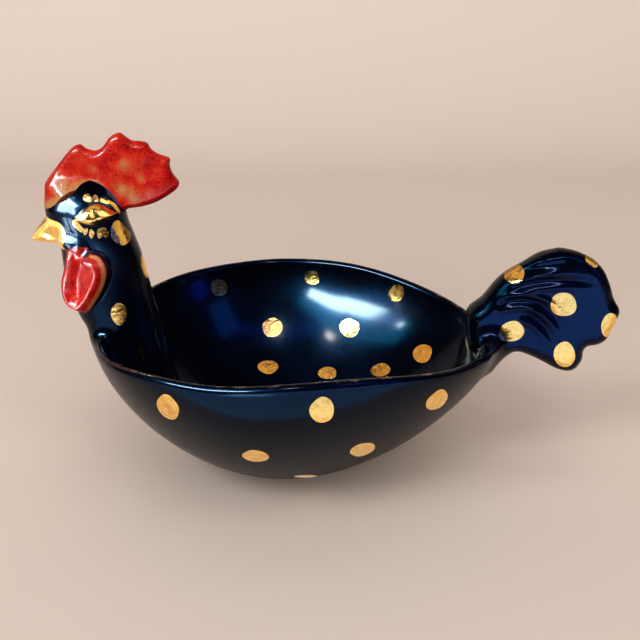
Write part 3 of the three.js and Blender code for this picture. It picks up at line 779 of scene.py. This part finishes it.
def net(field, low, high, pitch):
    """A closed net of quads over the surface of a field inside a box."""
    block = 4
    low = np.asarray(low, float)
    blocks = np.ceil((np.asarray(high, float) - low) / (pitch * block)).astype(int)
    size = blocks * block + 1
    corners = np.stack(np.meshgrid(*(np.arange(n + 1) for n in blocks), indexing="ij"), -1).reshape(-1, 3)
    coarse = field(low + corners * pitch * block).reshape(blocks + 1)
    cells = np.stack([coarse[i : i + blocks[0], j : j + blocks[1], k : k + blocks[2]]
                      for i in (0, 1) for j in (0, 1) for k in (0, 1)])
    near = np.abs(cells).min(0) < 1.5 * block * pitch
    values = np.where(coarse < 0, -99.0, 99.0)
    for axis in range(3):
        values = np.take(values, np.minimum(np.arange(size[axis]) // block, blocks[axis]), axis=axis)
    offsets = np.stack(np.meshgrid(*[np.arange(block + 1)] * 3, indexing="ij"), -1).reshape(-1, 3)
    nodes = (np.argwhere(near)[:, None] * block + offsets[None]).reshape(-1, 3)
    flat = np.unique(np.ravel_multi_index(nodes.T, size))
    nodes = np.stack(np.unravel_index(flat, size), 1)
    values.reshape(-1)[flat] = field(low + nodes * pitch)

    inside = values < 0
    shape = size - 1
    parts = np.array([(i, j, k) for i in (0, 1) for j in (0, 1) for k in (0, 1)])
    count = sum(
        inside[i : i + shape[0], j : j + shape[1], k : k + shape[2]].astype(np.int8) for i, j, k in parts)
    cell = np.argwhere((count > 0) & (count < 8))
    number = np.full(shape, -1)
    number[tuple(cell.T)] = np.arange(len(cell))
    held = np.stack([values[tuple((cell + part).T)] for part in parts], 1)
    place, hits = np.zeros((len(cell), 3)), np.zeros(len(cell))
    for a in range(8):
        for b in range(a + 1, 8):
            if np.abs(parts[a] - parts[b]).sum() != 1:
                continue
            split = (held[:, a] < 0) != (held[:, b] < 0)
            t = np.where(split, held[:, a] / np.where(split, held[:, a] - held[:, b], 1), 0)
            place += split[:, None] * (parts[a] + t[:, None] * (parts[b] - parts[a]))
            hits += split
    points = low + (cell + place / hits[:, None]) * pitch

    quads = []
    for axis in range(3):
        one, two = (axis + 1) % 3, (axis + 2) % 3
        step = np.eye(3, dtype=int)
        here = inside[tuple(slice(0, -1) if i == axis else slice(1, -1) for i in range(3))]
        there = inside[tuple(slice(1, None) if i == axis else slice(1, -1) for i in range(3))]
        edge = np.argwhere(here != there)
        edge = edge + (1 - step[axis])
        starts = inside[tuple(edge.T)]
        quad = np.stack([
            number[tuple((edge - a * step[one] - b * step[two]).T)]
            for a, b in ((0, 0), (1, 0), (1, 1), (0, 1))], 1)
        quads.append(np.where(starts[:, None], quad, quad[:, ::-1]))
    quads = np.concatenate(quads)
    return points, quads[(quads >= 0).all(1)]


def edges_of(faces):
    """The edges of faces, each from a corner to the next."""
    corners = faces.shape[1]
    return np.concatenate([faces[:, [i, (i + 1) % corners]] for i in range(corners)])


def band(ring, inner):
    """Triangles between two rings of as many points."""
    after, inner_after = np.roll(ring, -1), np.roll(inner, -1)
    return np.concatenate([np.stack([ring, after, inner_after], 1), np.stack([ring, inner_after, inner], 1)])


def relax(field, points, quads, rounds=2):
    """Even out the net along the surface."""
    edges = edges_of(quads)
    edges = np.concatenate([edges, edges[:, ::-1]])
    degree = np.maximum(np.bincount(edges[:, 0], minlength=len(points)), 1.0)
    for _ in range(rounds):
        middle = np.stack([
            np.bincount(edges[:, 0], points[edges[:, 1], i], len(points)) / degree for i in range(3)], 1)
        points = settle(field, points + 0.6 * (middle - points), 2)
    return settle(field, points, 2)


def mended(faces):
    """Draws together the ends of each edge where more than two triangles meet."""
    while True:
        unique, count = np.unique(np.sort(edges_of(faces), axis=1), axis=0, return_counts=True)
        crowded = unique[count > 2]
        if not len(crowded):
            return faces
        for kept, dropped in crowded:
            faces = np.where(faces == dropped, kept, faces)
        faces = faces[(faces != np.roll(faces, 1, axis=1)).all(1)]


def cut_along(points, faces, value):
    """Keep the triangles where `value` is negative, split along the line where it is nought."""
    value = np.where(np.abs(value) < 1e-6, 1e-6, value)
    keep = value < 0
    count = keep[faces].sum(1)
    whole = faces[count == 3]
    mixed = faces[(count == 1) | (count == 2)]
    odd = np.where(keep[mixed].sum(1) == 1, keep[mixed].argmax(1), (~keep[mixed]).argmax(1))
    rows = np.arange(len(mixed))
    a, b, c = (mixed[rows, (odd + i) % 3] for i in range(3))
    pairs = np.concatenate([np.stack([a, b], 1), np.stack([a, c], 1)])
    ordered = np.sort(pairs, 1)
    unique, where = np.unique(ordered, axis=0, return_inverse=True)
    where = where.ravel() + len(points)
    share = value[unique[:, 0]] / (value[unique[:, 0]] - value[unique[:, 1]])
    share = np.clip(share, 0.02, 0.98)
    new = points[unique[:, 0]] + share[:, None] * (points[unique[:, 1]] - points[unique[:, 0]])
    ab, ac = where[: len(mixed)], where[len(mixed) :]
    single = keep[a]
    parts = [
        whole,
        np.stack([a, ab, ac], 1)[single],
        np.stack([ab, b, c], 1)[~single],
        np.stack([ab, c, ac], 1)[~single],
    ]
    faces = np.concatenate(parts)
    points = np.concatenate([points, new])
    edge_line = np.arange(len(points)) >= len(points) - len(new)
    used, inverse = np.unique(faces, return_inverse=True)
    return points[used], inverse.reshape(-1, 3), edge_line[used]


def open_loops(faces):
    """The loops of open edges of a mesh of triangles."""
    known = set(map(tuple, edges_of(faces).tolist()))
    following = {b: a for a, b in known if (b, a) not in known}
    loops = []
    while following:
        start = here = next(iter(following))
        loop = []
        while here in following:
            loop.append(here)
            here = following.pop(here)
            if here == start:
                break
        loops.append(loop)
    return loops


def close_loops(points, faces):
    """Close each open loop with rings that draw in to its middle. Returns how many faces are skin."""
    skin = len(faces)
    for loop in open_loops(faces):
        if len(loop) < 3:
            continue
        ring = np.array(loop)
        middle = points[ring].mean(0)
        for share in CLOSING_RINGS:
            inner = np.arange(len(ring)) + len(points)
            points = np.concatenate([points, points[loop] + share * (middle - points[loop])])
            faces = np.concatenate([faces, band(ring, inner)])
            ring = inner
        centre = len(points)
        points = np.concatenate([points, middle[None]])
        fan = np.stack([ring, np.roll(ring, -1), np.full(len(ring), centre)], 1)
        faces = np.concatenate([faces, fan])
    return points, faces, skin


def make_mesh(name, points, faces, normals, skin, marks, material):
    """A Blender object of a closed mesh in millimetres, its skin shaded with given normals.

    Marks are named values at its points, which the material reads.
    """
    mesh = bpy.data.meshes.new(name)
    mesh.from_pydata((points * MM).tolist(), [], faces.tolist())
    mesh.shade_smooth()
    a, b, c = (points[faces[:, i]] for i in range(3))
    corners = np.repeat(unit(np.cross(b - a, c - a))[:, None], 3, 1)
    corners[:skin] = normals[faces[:skin]]
    mesh.normals_split_custom_set(corners.reshape(-1, 3).tolist())
    for label, held in marks.items():
        mesh.attributes.new(label, "FLOAT", "POINT").data.foreach_set("value", held.astype(np.float32))
    mesh.materials.append(material)
    piece = bpy.data.objects.new(name, mesh)
    bpy.context.scene.collection.objects.link(piece)
    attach(piece, "root")
    return piece


def clay_piece(clay, form, box, pitch, cuts):
    """One piece of the bird: the part of its skin that one form makes, closed at its joints."""
    points, quads = net(clay.body, *box, pitch * (1.0))
    points = relax(clay.body, points, quads)
    across = np.linalg.norm(points[quads[:, :2]] - points[quads[:, 2:]], axis=2)
    short = across[:, :1] <= across[:, 1:]
    faces = mended(np.concatenate([
        np.where(short, quads[:, [0, 1, 2]], quads[:, [0, 1, 3]]),
        np.where(short, quads[:, [0, 2, 3]], quads[:, [1, 2, 3]]),
    ]))

    def not_mine(p):
        fields = clay.forms(p)
        for name, further in clay.spread(p).items():
            fields[name] = fields[name] - further
        mine = fields.pop(form)
        return mine - np.min(list(fields.values()), axis=0)

    for cut in (not_mine, *cuts):
        value = cut(points)
        if (value < 0).all():
            continue
        points, faces, line = cut_along(points, faces, value)
        points[line] = settle(clay.body, points[line], 2)
    normals = outward(clay.body, points)
    points, faces, skin = close_loops(points, faces)
    normals = np.concatenate([normals, np.zeros((len(points) - len(normals), 3))])
    return points, faces, normals, skin, clay.finish_marks(form, points)


# Materials


def fill(tree, made, inputs):
    """Links or sets inputs of a node, by name or number."""
    for socket, held in inputs.items():
        if isinstance(held, bpy.types.NodeSocket):
            tree.links.new(held, made.inputs[socket])
        else:
            made.inputs[socket].default_value = held


def node(tree, kind, inputs=None, **settings):
    """A node with its settings and inputs."""
    made = tree.nodes.new(kind)
    for key, value in settings.items():
        setattr(made, key, value)
    fill(tree, made, inputs or {})
    return made


def object_place(tree):
    return node(tree, "ShaderNodeTexCoord").outputs["Object"]


def axis_of(tree, place, axis):
    return node(tree, "ShaderNodeSeparateXYZ", {"Vector": place}).outputs[axis]


def mark(tree, label):
    return node(tree, "ShaderNodeAttribute", attribute_name=label, attribute_type="GEOMETRY").outputs["Fac"]


def noise(tree, place, scale, detail, roughness=0.5):
    return node(tree, "ShaderNodeTexNoise", {
        "Vector": place, "Scale": scale, "Detail": detail, "Roughness": roughness}).outputs["Fac"]


def calc(tree, operation, *values):
    """The result of a sum or product of sockets and numbers."""
    return node(tree, "ShaderNodeMath", dict(enumerate(values)), operation=operation).outputs[0]


def remap(tree, value, low, high, start=0.0, end=1.0):
    """A factor stretched from one range to another and held at its ends."""
    return node(tree, "ShaderNodeMapRange", {
        "Value": value, "From Min": low, "From Max": high, "To Min": start, "To Max": end}).outputs["Result"]


def ramp_of(tree, factor, stops):
    """A colour ramp over a factor, from (position, colour) stops."""
    made = node(tree, "ShaderNodeValToRGB", {"Fac": factor})
    elements = made.color_ramp.elements
    while len(elements) < len(stops):
        elements.new(0.5)
    for element, (position, colour) in zip(elements, stops):
        element.position = position
        element.color = (*colour[:3], 1.0)
    return made.outputs["Color"]


def mixed(tree, factor, under, over):
    """One colour laid over another by a mask."""
    laid = [held if isinstance(held, bpy.types.NodeSocket) else (*held[:3], 1.0) for held in (under, over)]
    return node(tree, "ShaderNodeMix", {0: factor, 6: laid[0], 7: laid[1]}, data_type="RGBA").outputs[2]


def ripple_group():
    """The shared node group for the orange-peel of a fired glaze: a height and a slow mask."""
    name = "Glaze ripple"
    if name in bpy.data.node_groups:
        return bpy.data.node_groups[name]
    tree = bpy.data.node_groups.new(name, "ShaderNodeTree")
    for label, default in (("Peel scale", 900.0), ("Pool scale", 60.0)):
        socket = tree.interface.new_socket(label, in_out="INPUT", socket_type="NodeSocketFloat")
        socket.default_value = default
    for label in ("Height", "Pool"):
        tree.interface.new_socket(label, in_out="OUTPUT", socket_type="NodeSocketFloat")
    given, result = tree.nodes.new("NodeGroupInput"), tree.nodes.new("NodeGroupOutput")
    place = object_place(tree)
    peel = noise(tree, place, given.outputs["Peel scale"], 2.0)
    pool = noise(tree, place, given.outputs["Pool scale"], 3.0)
    fill(tree, result, {"Height": calc(tree, "MULTIPLY_ADD", pool, 2.2, peel), "Pool": pool})
    return tree


def rippled(tree, shader, peel, pool, strength, distance):
    """Bumps a material with the shared ripple, and gives the ripple's slow mask."""
    ripple = node(tree, "ShaderNodeGroup", node_tree=ripple_group())
    fill(tree, ripple, {"Peel scale": peel, "Pool scale": pool})
    bump = node(tree, "ShaderNodeBump", {
        "Height": ripple.outputs["Height"], "Strength": strength, "Distance": distance})
    fill(tree, shader, {"Normal": bump.outputs["Normal"]})
    return ripple.outputs["Pool"]


def new_material(name):
    material = bpy.data.materials.new(name)
    material.use_nodes = True
    return material, material.node_tree, material.node_tree.nodes["Principled BSDF"]


def black_glaze(name, colours):
    """Blue-black glaze, worn to a rosy bronze along the rim, with a bare ring where the foot stands."""
    material, tree, shader = new_material(name)
    pool = rippled(tree, shader, 900.0, 45.0, 0.3, 0.00008)
    black = colours.black
    pooled = ramp_of(tree, pool, [
        (0.35, [c * 0.5 for c in black]), (0.68, (black[0], black[1] * 1.3, black[2] * 1.8))])
    place = object_place(tree)
    wear = noise(tree, place, 120.0, 4.0, 0.6)
    rim = calc(tree, "MULTIPLY_ADD", mark(tree, "Worn"), 0.62, calc(tree, "SUBTRACT", wear, 0.85))
    glazed = mixed(tree, remap(tree, rim, 0.3, 0.46), pooled, colours.worn)
    bare = remap(tree, axis_of(tree, place, "Z"), 0.0013, 0.0008)
    gloss = remap(tree, pool, 0.3, 0.7, 0.2, 0.32)
    fill(tree, shader, {
        "Base Color": mixed(tree, bare, glazed, colours.bare),
        "Roughness": calc(tree, "MAXIMUM", gloss, calc(tree, "MULTIPLY", bare, 0.85)),
        "Coat Weight": calc(tree, "SUBTRACT", 1.0, bare),
        "Specular Tint": (0.1, 0.45, 1.0, 1.0),
        "Specular IOR Level": 0.36,
        "Coat Roughness": 0.115,
        "Coat IOR": 1.38,
    })
    return material


def red_glaze(name, colours):
    """Red glaze mottled with orange and cream where it runs thin, and into the black where they meet."""
    material, tree, shader = new_material(name)
    place = object_place(tree)
    mottle = noise(tree, place, 190.0, 5.0, 0.62)
    fine = noise(tree, place, 1500.0, 2.0, 0.6)
    both = calc(tree, "MULTIPLY_ADD", fine, 0.35, calc(tree, "MULTIPLY", mottle, 0.65))
    red, clay = colours.red, colours.clay
    body = ramp_of(tree, calc(tree, "MULTIPLY_ADD", mark(tree, "Thin"), 0.4, both), [
        (0.36, [c * 0.45 for c in red]), (0.48, red), (0.62, (red[0] * 1.15, 0.06, 0.02)),
        (0.76, [(a + b) / 2 for a, b in zip(red, clay)]), (0.9, clay)])
    specks = node(tree, "ShaderNodeTexVoronoi", {"Vector": place, "Scale": 230.0, "Randomness": 1.0})
    body = mixed(tree, remap(tree, specks.outputs["Distance"], 0.05, 0.09, 0.8, 0.0), body, colours.speck)
    run = remap(tree, calc(tree, "MULTIPLY_ADD", fine, 0.3, mark(tree, "Dark")), 0.25, 0.95)
    rippled(tree, shader, 1000.0, 240.0, 0.7, 0.00032)
    fill(tree, shader, {
        "Base Color": mixed(tree, run, body, colours.run),
        "Roughness": 0.35,
        "Specular IOR Level": 0.15,
        "Coat Weight": 0.7,
        "Coat Roughness": 0.13,
        "Coat IOR": 1.42,
    })
    return material


def gold_lustre(name, colours):
    """Fired gold, nearly a mirror, browner and less polished in patches."""
    material, tree, shader = new_material(name)
    patches = noise(tree, object_place(tree), 420.0, 4.0, 0.65)
    gold = colours.gold
    brown = (gold[0] * 0.78, gold[1] * 0.68, gold[2] * 0.5)
    rippled(tree, shader, 800.0, 170.0, 0.5, 0.00022)
    fill(tree, shader, {
        "Base Color": ramp_of(tree, patches, [(0.3, brown), (0.6, gold)]),
        "Roughness": remap(tree, patches, 0.3, 0.7, 0.12, 0.26),
        "Metallic": 1.0,
    })
    return material


MATERIALS = {
    "black_glaze": ("Blue-black glaze", black_glaze),
    "red_glaze": ("Mottled red glaze", red_glaze),
    "gold_lustre": ("Gold lustre", gold_lustre),
}


def material_of(slot, colours):
    """The material of a slot, made the first time it is asked for."""
    name, maker = MATERIALS[slot]
    return bpy.data.materials.get(name) or maker(name, colours)


# Painted gold


def first_hit(clay, origins, rays):
    """Where rays first meet the bird, or the skin beside them where they just pass it by."""
    far = np.zeros(len(rays))
    nearest, place = np.full(len(rays), np.inf), far.copy()
    for _ in range(90):
        gap = clay.body(origins + rays * far[:, None])
        place = np.where(gap < nearest, far, place)
        nearest = np.minimum(nearest, gap)
        far = np.where(nearest < 0.02, far, far + np.clip(gap, 0.05, 12.0) * 0.7)
    return settle(clay.body, origins + rays * place[:, None], 12)


def petal_grid(outline, rings=5):
    """Points of a filled outline as rings round its middle, and its triangles."""
    outline = closed_curve(outline, 3 if len(outline) > 20 else 6)
    middle = outline.mean(0)
    shares = np.linspace(1, 0, rings + 1)[:-1]
    points = [middle + share * (outline - middle) for share in shares] + [middle[None]]
    count = len(outline)
    around = np.arange(count)
    faces = [band(around + i * count, around + (i + 1) * count) for i in range(rings - 1)]
    last = around + (rings - 1) * count
    faces.append(np.stack([last, np.roll(last, -1), np.full(count, rings * count)], 1))
    return np.concatenate(points), np.concatenate(faces), count


def film(clay, surface, faces, count, thickness):
    """A thin closed skin over a patch of the glaze, thinnest at its edge."""
    normals = outward(clay.body, surface)
    lift = np.full(len(surface), thickness)
    lift[:count] = thickness * FILM_EDGE
    top = surface + normals * lift[:, None]
    a, b, c = (top[faces[:, i]] for i in range(3))
    if (np.cross(b - a, c - a) * normals[faces[:, 0]]).sum() < 0:
        faces = faces[:, ::-1]
    points = np.concatenate([top, surface - normals * FILM_ROOT])
    around = np.arange(count)
    side = band(around, around + len(surface))
    a, b, c = points[side[0]]
    if np.cross(b - a, c - a) @ (top[0] - surface.mean(0)) < 0:
        side = side[:, ::-1]
    all_faces = np.concatenate([faces, faces[:, ::-1] + len(surface), side])
    return points, all_faces, np.concatenate([normals, normals]), len(faces)


def painted(name, clay, patches, sizes, colours):
    """One object of painted patches. A patch is its surface points, triangles and edge count."""
    points, skins, others, normals, offset = [], [], [], [], 0
    for patch in patches:
        places, faces, out, skin = film(clay, *patch, sizes.film / MM)
        points.append(places)
        normals.append(out)
        skins.append(faces[:skin] + offset)
        others.append(faces[skin:] + offset)
        offset += len(places)
    piece = make_mesh(
        name, np.concatenate(points), np.concatenate(skins + others), np.concatenate(normals),
        sum(map(len, skins)), {}, material_of("gold_lustre", colours))
    lit_with("gilded", piece)
    lit_with("all_but_feathers", piece)
    if "lashes" in name:
        lit_with("head", piece)


def brushed_ellipse(width, height, tilt, seed):
    """A dot's outline as a brush leaves it: an uneven oval."""
    random = np.random.default_rng(seed)
    angle = np.linspace(0, 2 * math.pi, 25)[:-1]
    uneven = 1 + sum(
        size * random.uniform(0.3, 1) * np.cos(k * angle + random.uniform(0, 2 * math.pi))
        for k, size in ((2, 0.04), (3, 0.04), (4, 0.02), (5, 0.015)))
    along, across = width / 2 * uneven * np.cos(angle), height / 2 * uneven * np.sin(angle)
    turn = math.radians(tilt)
    sway, rise = math.sin(turn), math.cos(turn)
    return np.stack([along * rise - across * sway, along * sway + across * rise], 1)


def seen_patch(clay, pixels):
    """A patch painted where the photograph shows its outline."""
    flat, faces, count = petal_grid(pixels)
    rays = pixel_rays(flat)
    return first_hit(clay, np.repeat(CAMERA_PLACE[None], len(rays), 0), rays), faces, count


def seen_dots(clay, dots, seed):
    return [
        seen_patch(clay, brushed_ellipse(w, h, tilt, seed + i) + np.array([u, v]))
        for i, (u, v, w, h, tilt) in enumerate(dots)
    ]


def unseen_dots(clay, dots, seed):
    """Dots that the photograph doesn't show, each brushed square to the skin that a line meets first."""
    patches = []
    for i, (place, towards, width, height, tilt) in enumerate(dots):
        hit = first_hit(clay, np.array([place], float), unit(np.array([towards], float)))
        out = outward(clay.body, hit)[0]
        side = unit(np.cross(out, [0.3, 0.2, 1.0]))
        up = np.cross(out, side)
        flat, faces, count = petal_grid(brushed_ellipse(width, height, tilt, seed + i))
        around = hit[0] + flat[:, :1] * side + flat[:, 1:] * up
        patches.append((settle(clay.body, around, 6), faces, count))
    return patches


def mirrored(clay, patch):
    """The same patch on the other side of the bird."""
    points, faces, count = patch
    return settle(clay.body, points * [1, -1, 1], 8), faces[:, ::-1], count


# Operators


# Clays made so far, by their sizes
CLAYS = {}


def tools(context):
    """The clay for the sizes that are set, made once for all the pieces, with the sizes and colours."""
    sizes, colours = context.scene.rooster_sizes, context.scene.rooster_colours
    key = tuple(getattr(sizes, name) for name in RoosterSizes.__annotations__)
    if key not in CLAYS:
        CLAYS[key] = Clay(sizes)
    return CLAYS[key], sizes, colours


def lit_with(label, piece):
    """Puts a piece among those that the stage's panels of a label light."""
    pieces = bpy.data.collections.get(label) or bpy.data.collections.new(label)
    pieces.objects.link(piece)


def piece_cuts(clay, name):
    """What bounds a piece besides the other forms: the joint of neck and head, or the bird's middle."""
    if name == "neck":
        return [lambda p: p[:, 2] - clay.joint]
    if name == "head":
        return [lambda p: clay.joint - p[:, 2]]
    if name.endswith("_left"):
        return [lambda p: p[:, 1]]
    return [lambda p: -p[:, 1]] if name.endswith("_right") else []


def make_piece(clay, name, colours):
    """Makes the object of a piece of clay in place of its CAD node."""
    form, box, pitch, slot = PIECES[name]
    shape = clay_piece(clay, form, box, pitch, piece_cuts(clay, name))
    finish = "gilded" if slot == "gold_lustre" else "glazed"
    piece = make_mesh(f"{finish}_{name}", *shape, material_of(slot, colours))
    if finish == "gilded":
        lit_with("gilded", piece)
    if name not in ("bowl", "neck", "tail", "comb"):
        lit_with("head", piece)
    if form == "wattle":
        lit_with("wattles", piece)
    lit_with("feathers" if name == "tail" else "all_but_feathers", piece)
    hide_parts(name)


class PieceOperator:
    """Makes the pieces of clay that it names."""

    def execute(self, context):
        clay, _, colours = tools(context)
        for name in self.pieces:
            make_piece(clay, name, colours)
        return {"FINISHED"}


class ROOSTER_OT_bowl(PieceOperator, bpy.types.Operator):
    """Make the open egg-shaped bowl"""

    bl_idname = "rooster.bowl"
    bl_label = "Bowl"
    pieces = ("bowl",)


class ROOSTER_OT_neck(PieceOperator, bpy.types.Operator):
    """Make the neck that stands in the head end of the bowl"""

    bl_idname = "rooster.neck"
    bl_label = "Neck"
    pieces = ("neck",)


class ROOSTER_OT_head(PieceOperator, bpy.types.Operator):
    """Make the head"""

    bl_idname = "rooster.head"
    bl_label = "Head"
    pieces = ("head",)


class ROOSTER_OT_comb(PieceOperator, bpy.types.Operator):
    """Make the comb"""

    bl_idname = "rooster.comb"
    bl_label = "Comb"
    pieces = ("comb",)


class ROOSTER_OT_beak(PieceOperator, bpy.types.Operator):
    """Make the beak"""

    bl_idname = "rooster.beak"
    bl_label = "Beak"
    pieces = ("beak",)


class ROOSTER_OT_eyelids(PieceOperator, bpy.types.Operator):
    """Make the two closed eyelids"""

    bl_idname = "rooster.eyelids"
    bl_label = "Eyelids"
    pieces = ("eyelid_left", "eyelid_right")


class ROOSTER_OT_wattles(PieceOperator, bpy.types.Operator):
    """Make the two wattles"""

    bl_idname = "rooster.wattles"
    bl_label = "Wattles"
    pieces = ("wattle_left", "wattle_right")


class ROOSTER_OT_tail(PieceOperator, bpy.types.Operator):
    """Make the fan tail"""

    bl_idname = "rooster.tail"
    bl_label = "Tail"
    pieces = ("tail",)


class ROOSTER_OT_gold_dots(bpy.types.Operator):
    """Paint the gold dots"""

    bl_idname = "rooster.gold_dots"
    bl_label = "Gold dots"

    def execute(self, context):
        clay, sizes, colours = tools(context)
        outside = seen_dots(clay, DOTS_OUTSIDE, 100) + unseen_dots(clay, UNSEEN_OUTSIDE, 500)
        painted("gold_dots_outside", clay, outside, sizes, colours)
        inside = seen_dots(clay, DOTS_INSIDE, 200) + unseen_dots(clay, UNSEEN_INSIDE, 600)
        painted("gold_dots_inside", clay, inside, sizes, colours)
        tail = seen_dots(clay, DOTS_TAIL, 300)
        painted("gold_dots_tail", clay, tail + [mirrored(clay, patch) for patch in tail], sizes, colours)
        neck = seen_dots(clay, DOTS_NECK, 400) + [seen_patch(clay, TEAR_PIXELS)]
        neck += [mirrored(clay, patch) for patch in neck] + unseen_dots(clay, UNSEEN_NECK, 700)
        painted("gold_dots_neck", clay, neck, sizes, colours)
        return {"FINISHED"}


class ROOSTER_OT_lashes(bpy.types.Operator):
    """Paint the lashes round the eyelids"""

    bl_idname = "rooster.lashes"
    bl_label = "Lashes"

    def execute(self, context):
        clay, sizes, colours = tools(context)
        left = [seen_patch(clay, petal) for petal in LASH_PIXELS]
        right = [mirrored(clay, patch) for patch in left]
        painted("gold_lashes_left", clay, left, sizes, colours)
        painted("gold_lashes_right", clay, right, sizes, colours)
        return {"FINISHED"}


def lay_floor(scene, colours):
    """A pale floor that turns up into a wall. For glossy rays its colour is painted darker, most in front:
    painted shade in the reflections of what stands on it.
    """
    profile = [(FLOOR_FRONT, 0.0), (FLOOR_BEND, 0.0)]
    profile += [
        (FLOOR_BEND + BEND_RADIUS * math.sin(a), BEND_RADIUS - BEND_RADIUS * math.cos(a))
        for a in np.linspace(0.12, math.pi / 2, 12)]
    profile += [(FLOOR_BEND + BEND_RADIUS, WALL_TOP)]
    points = [(x, y, z) for y, z in profile for x in (-FLOOR_HALF, FLOOR_HALF)]
    faces = [(2 * i, 2 * i + 1, 2 * i + 3, 2 * i + 2) for i in range(len(profile) - 1)]
    mesh = bpy.data.meshes.new("floor")
    mesh.from_pydata(points, [], faces)
    mesh.shade_smooth()
    floor = bpy.data.objects.new("floor", mesh)
    scene.collection.objects.link(floor)
    lit_with("ground", floor)
    material, tree, shader = new_material("Plain pale floor")
    place = object_place(tree)
    pale = ramp_of(tree, noise(tree, place, 3.0, 2.0), [
        (0.0, [c * 0.95 for c in colours.floor]), (1.0, colours.floor)])
    # Painted shade in reflections: glossy rays see the floor's colour darkened by 55% round the dish and
    # nearly to black far in front
    near = remap(tree, axis_of(tree, place, "Y"), -0.36, -0.55, 0.55, 0.98)
    painted_reflection_shade = calc(tree, "MULTIPLY", near, node(tree, "ShaderNodeLightPath").outputs["Is Glossy Ray"])
    fill(tree, shader, {"Base Color": mixed(tree, painted_reflection_shade, pale, (0, 0, 0)), "Roughness": 0.65})
    mesh.materials.append(material)


def hang_panel(scene, seen, name, target, azimuth, elevation, distance, size, glow, colour, roll=0, only=""):
    """A soft panel that faces a target from a direction."""
    turn, rise = math.radians(azimuth), math.radians(elevation)
    way = Vector((math.sin(turn) * math.cos(rise), -math.cos(turn) * math.cos(rise), math.sin(rise)))
    light = bpy.data.lights.new(name, "AREA")
    light.shape = "RECTANGLE"
    light.size, light.size_y = size
    light.energy = math.pi * size[0] * size[1] * glow
    light.color = colour
    lit = bpy.data.objects.new(name, light)
    lit.location = Vector(target) + way * distance
    facing = way.to_track_quat("Z", "Y") @ Quaternion((0, 0, 1), math.radians(roll))
    lit.rotation_euler = facing.to_euler()
    lit.visible_camera = False
    lit.visible_diffuse = seen == "diffuse"
    lit.visible_glossy = seen == "glossy"
    if only:
        lit.light_linking.receiver_collection = bpy.data.collections[only]
    scene.collection.objects.link(lit)


def set_world(scene):
    """Surroundings that are dark for what they light and pale behind the dish."""
    world = bpy.data.worlds.new("Dim studio")
    world.use_nodes = True
    tree = world.node_tree
    dark = tree.nodes["Background"]
    fill(tree, dark, {"Color": (0.02, 0.02, 0.024, 1.0)})
    pale = node(tree, "ShaderNodeBackground", {"Color": (0.62, 0.54, 0.48, 1.0)})
    seen = node(tree, "ShaderNodeLightPath").outputs["Is Camera Ray"]
    both = node(tree, "ShaderNodeMixShader", {0: seen, 1: dark.outputs[0], 2: pale.outputs[0]})
    fill(tree, tree.nodes["World Output"], {"Surface": both.outputs[0]})
    scene.world = world
    scene.view_settings.view_transform = "Standard"
    scene.view_settings.look = "Medium High Contrast"


def set_camera(scene):
    """The camera of the photograph."""
    camera = bpy.data.cameras.new("camera")
    camera.sensor_width = SENSOR_WIDTH
    camera.sensor_fit = "HORIZONTAL"
    camera.lens = SENSOR_WIDTH * CAMERA_FOCUS / PICTURE_SIDE
    camera.clip_start = 0.01
    eye = bpy.data.objects.new("camera", camera)
    eye.location = CAMERA_PLACE * MM
    eye.rotation_euler = (math.pi / 2 - CAMERA_PITCH, 0, 0)
    scene.collection.objects.link(eye)
    scene.camera = eye


class ROOSTER_OT_stage(bpy.types.Operator):
    """Lay the floor, and set the lights and the camera"""

    bl_idname = "rooster.stage"
    bl_label = "Stage"

    def execute(self, context):
        scene = context.scene
        lay_floor(scene, scene.rooster_colours)
        for seen, panels in (("glossy", GLOSS_PANELS), ("diffuse", SOFT_PANELS)):
            for panel in panels:
                hang_panel(scene, seen, *panel)
        set_world(scene)
        set_camera(scene)
        return {"FINISHED"}


class ROOSTER_PT_panel(bpy.types.Panel):
    """Sizes, colours and pieces of the rooster dish"""

    bl_idname = "ROOSTER_PT_panel"
    bl_label = "Rooster dish"
    bl_space_type = "VIEW_3D"
    bl_region_type = "UI"
    bl_category = "Rooster"

    def draw(self, context):
        layout = self.layout
        for group_of in (context.scene.rooster_sizes, context.scene.rooster_colours):
            box = layout.box()
            for name in group_of.__annotations__:
                box.prop(group_of, name)
        for operator in OPERATORS:
            layout.operator(operator.bl_idname)


OPERATORS = (
    ROOSTER_OT_bowl, ROOSTER_OT_neck, ROOSTER_OT_head, ROOSTER_OT_comb, ROOSTER_OT_beak,
    ROOSTER_OT_eyelids, ROOSTER_OT_wattles, ROOSTER_OT_tail, ROOSTER_OT_gold_dots, ROOSTER_OT_lashes,
    ROOSTER_OT_stage,
)
CLASSES = (RoosterSizes, RoosterColours, *OPERATORS, ROOSTER_PT_panel)


def register():
    for made in CLASSES:
        bpy.utils.register_class(made)
    bpy.types.Scene.rooster_sizes = PointerProperty(type=RoosterSizes)
    bpy.types.Scene.rooster_colours = PointerProperty(type=RoosterColours)


def unregister():
    del bpy.types.Scene.rooster_colours
    del bpy.types.Scene.rooster_sizes
    for made in reversed(CLASSES):
        bpy.utils.unregister_class(made)


def main():
    register()
    bpy.ops.rooster.bowl()
    bpy.ops.rooster.neck()
    bpy.ops.rooster.head()
    bpy.ops.rooster.comb()
    bpy.ops.rooster.beak()
    bpy.ops.rooster.eyelids()
    bpy.ops.rooster.wattles()
    bpy.ops.rooster.tail()
    bpy.ops.rooster.gold_dots()
    bpy.ops.rooster.lashes()
    bpy.ops.rooster.stage()


if __name__ == "__main__":
    main()
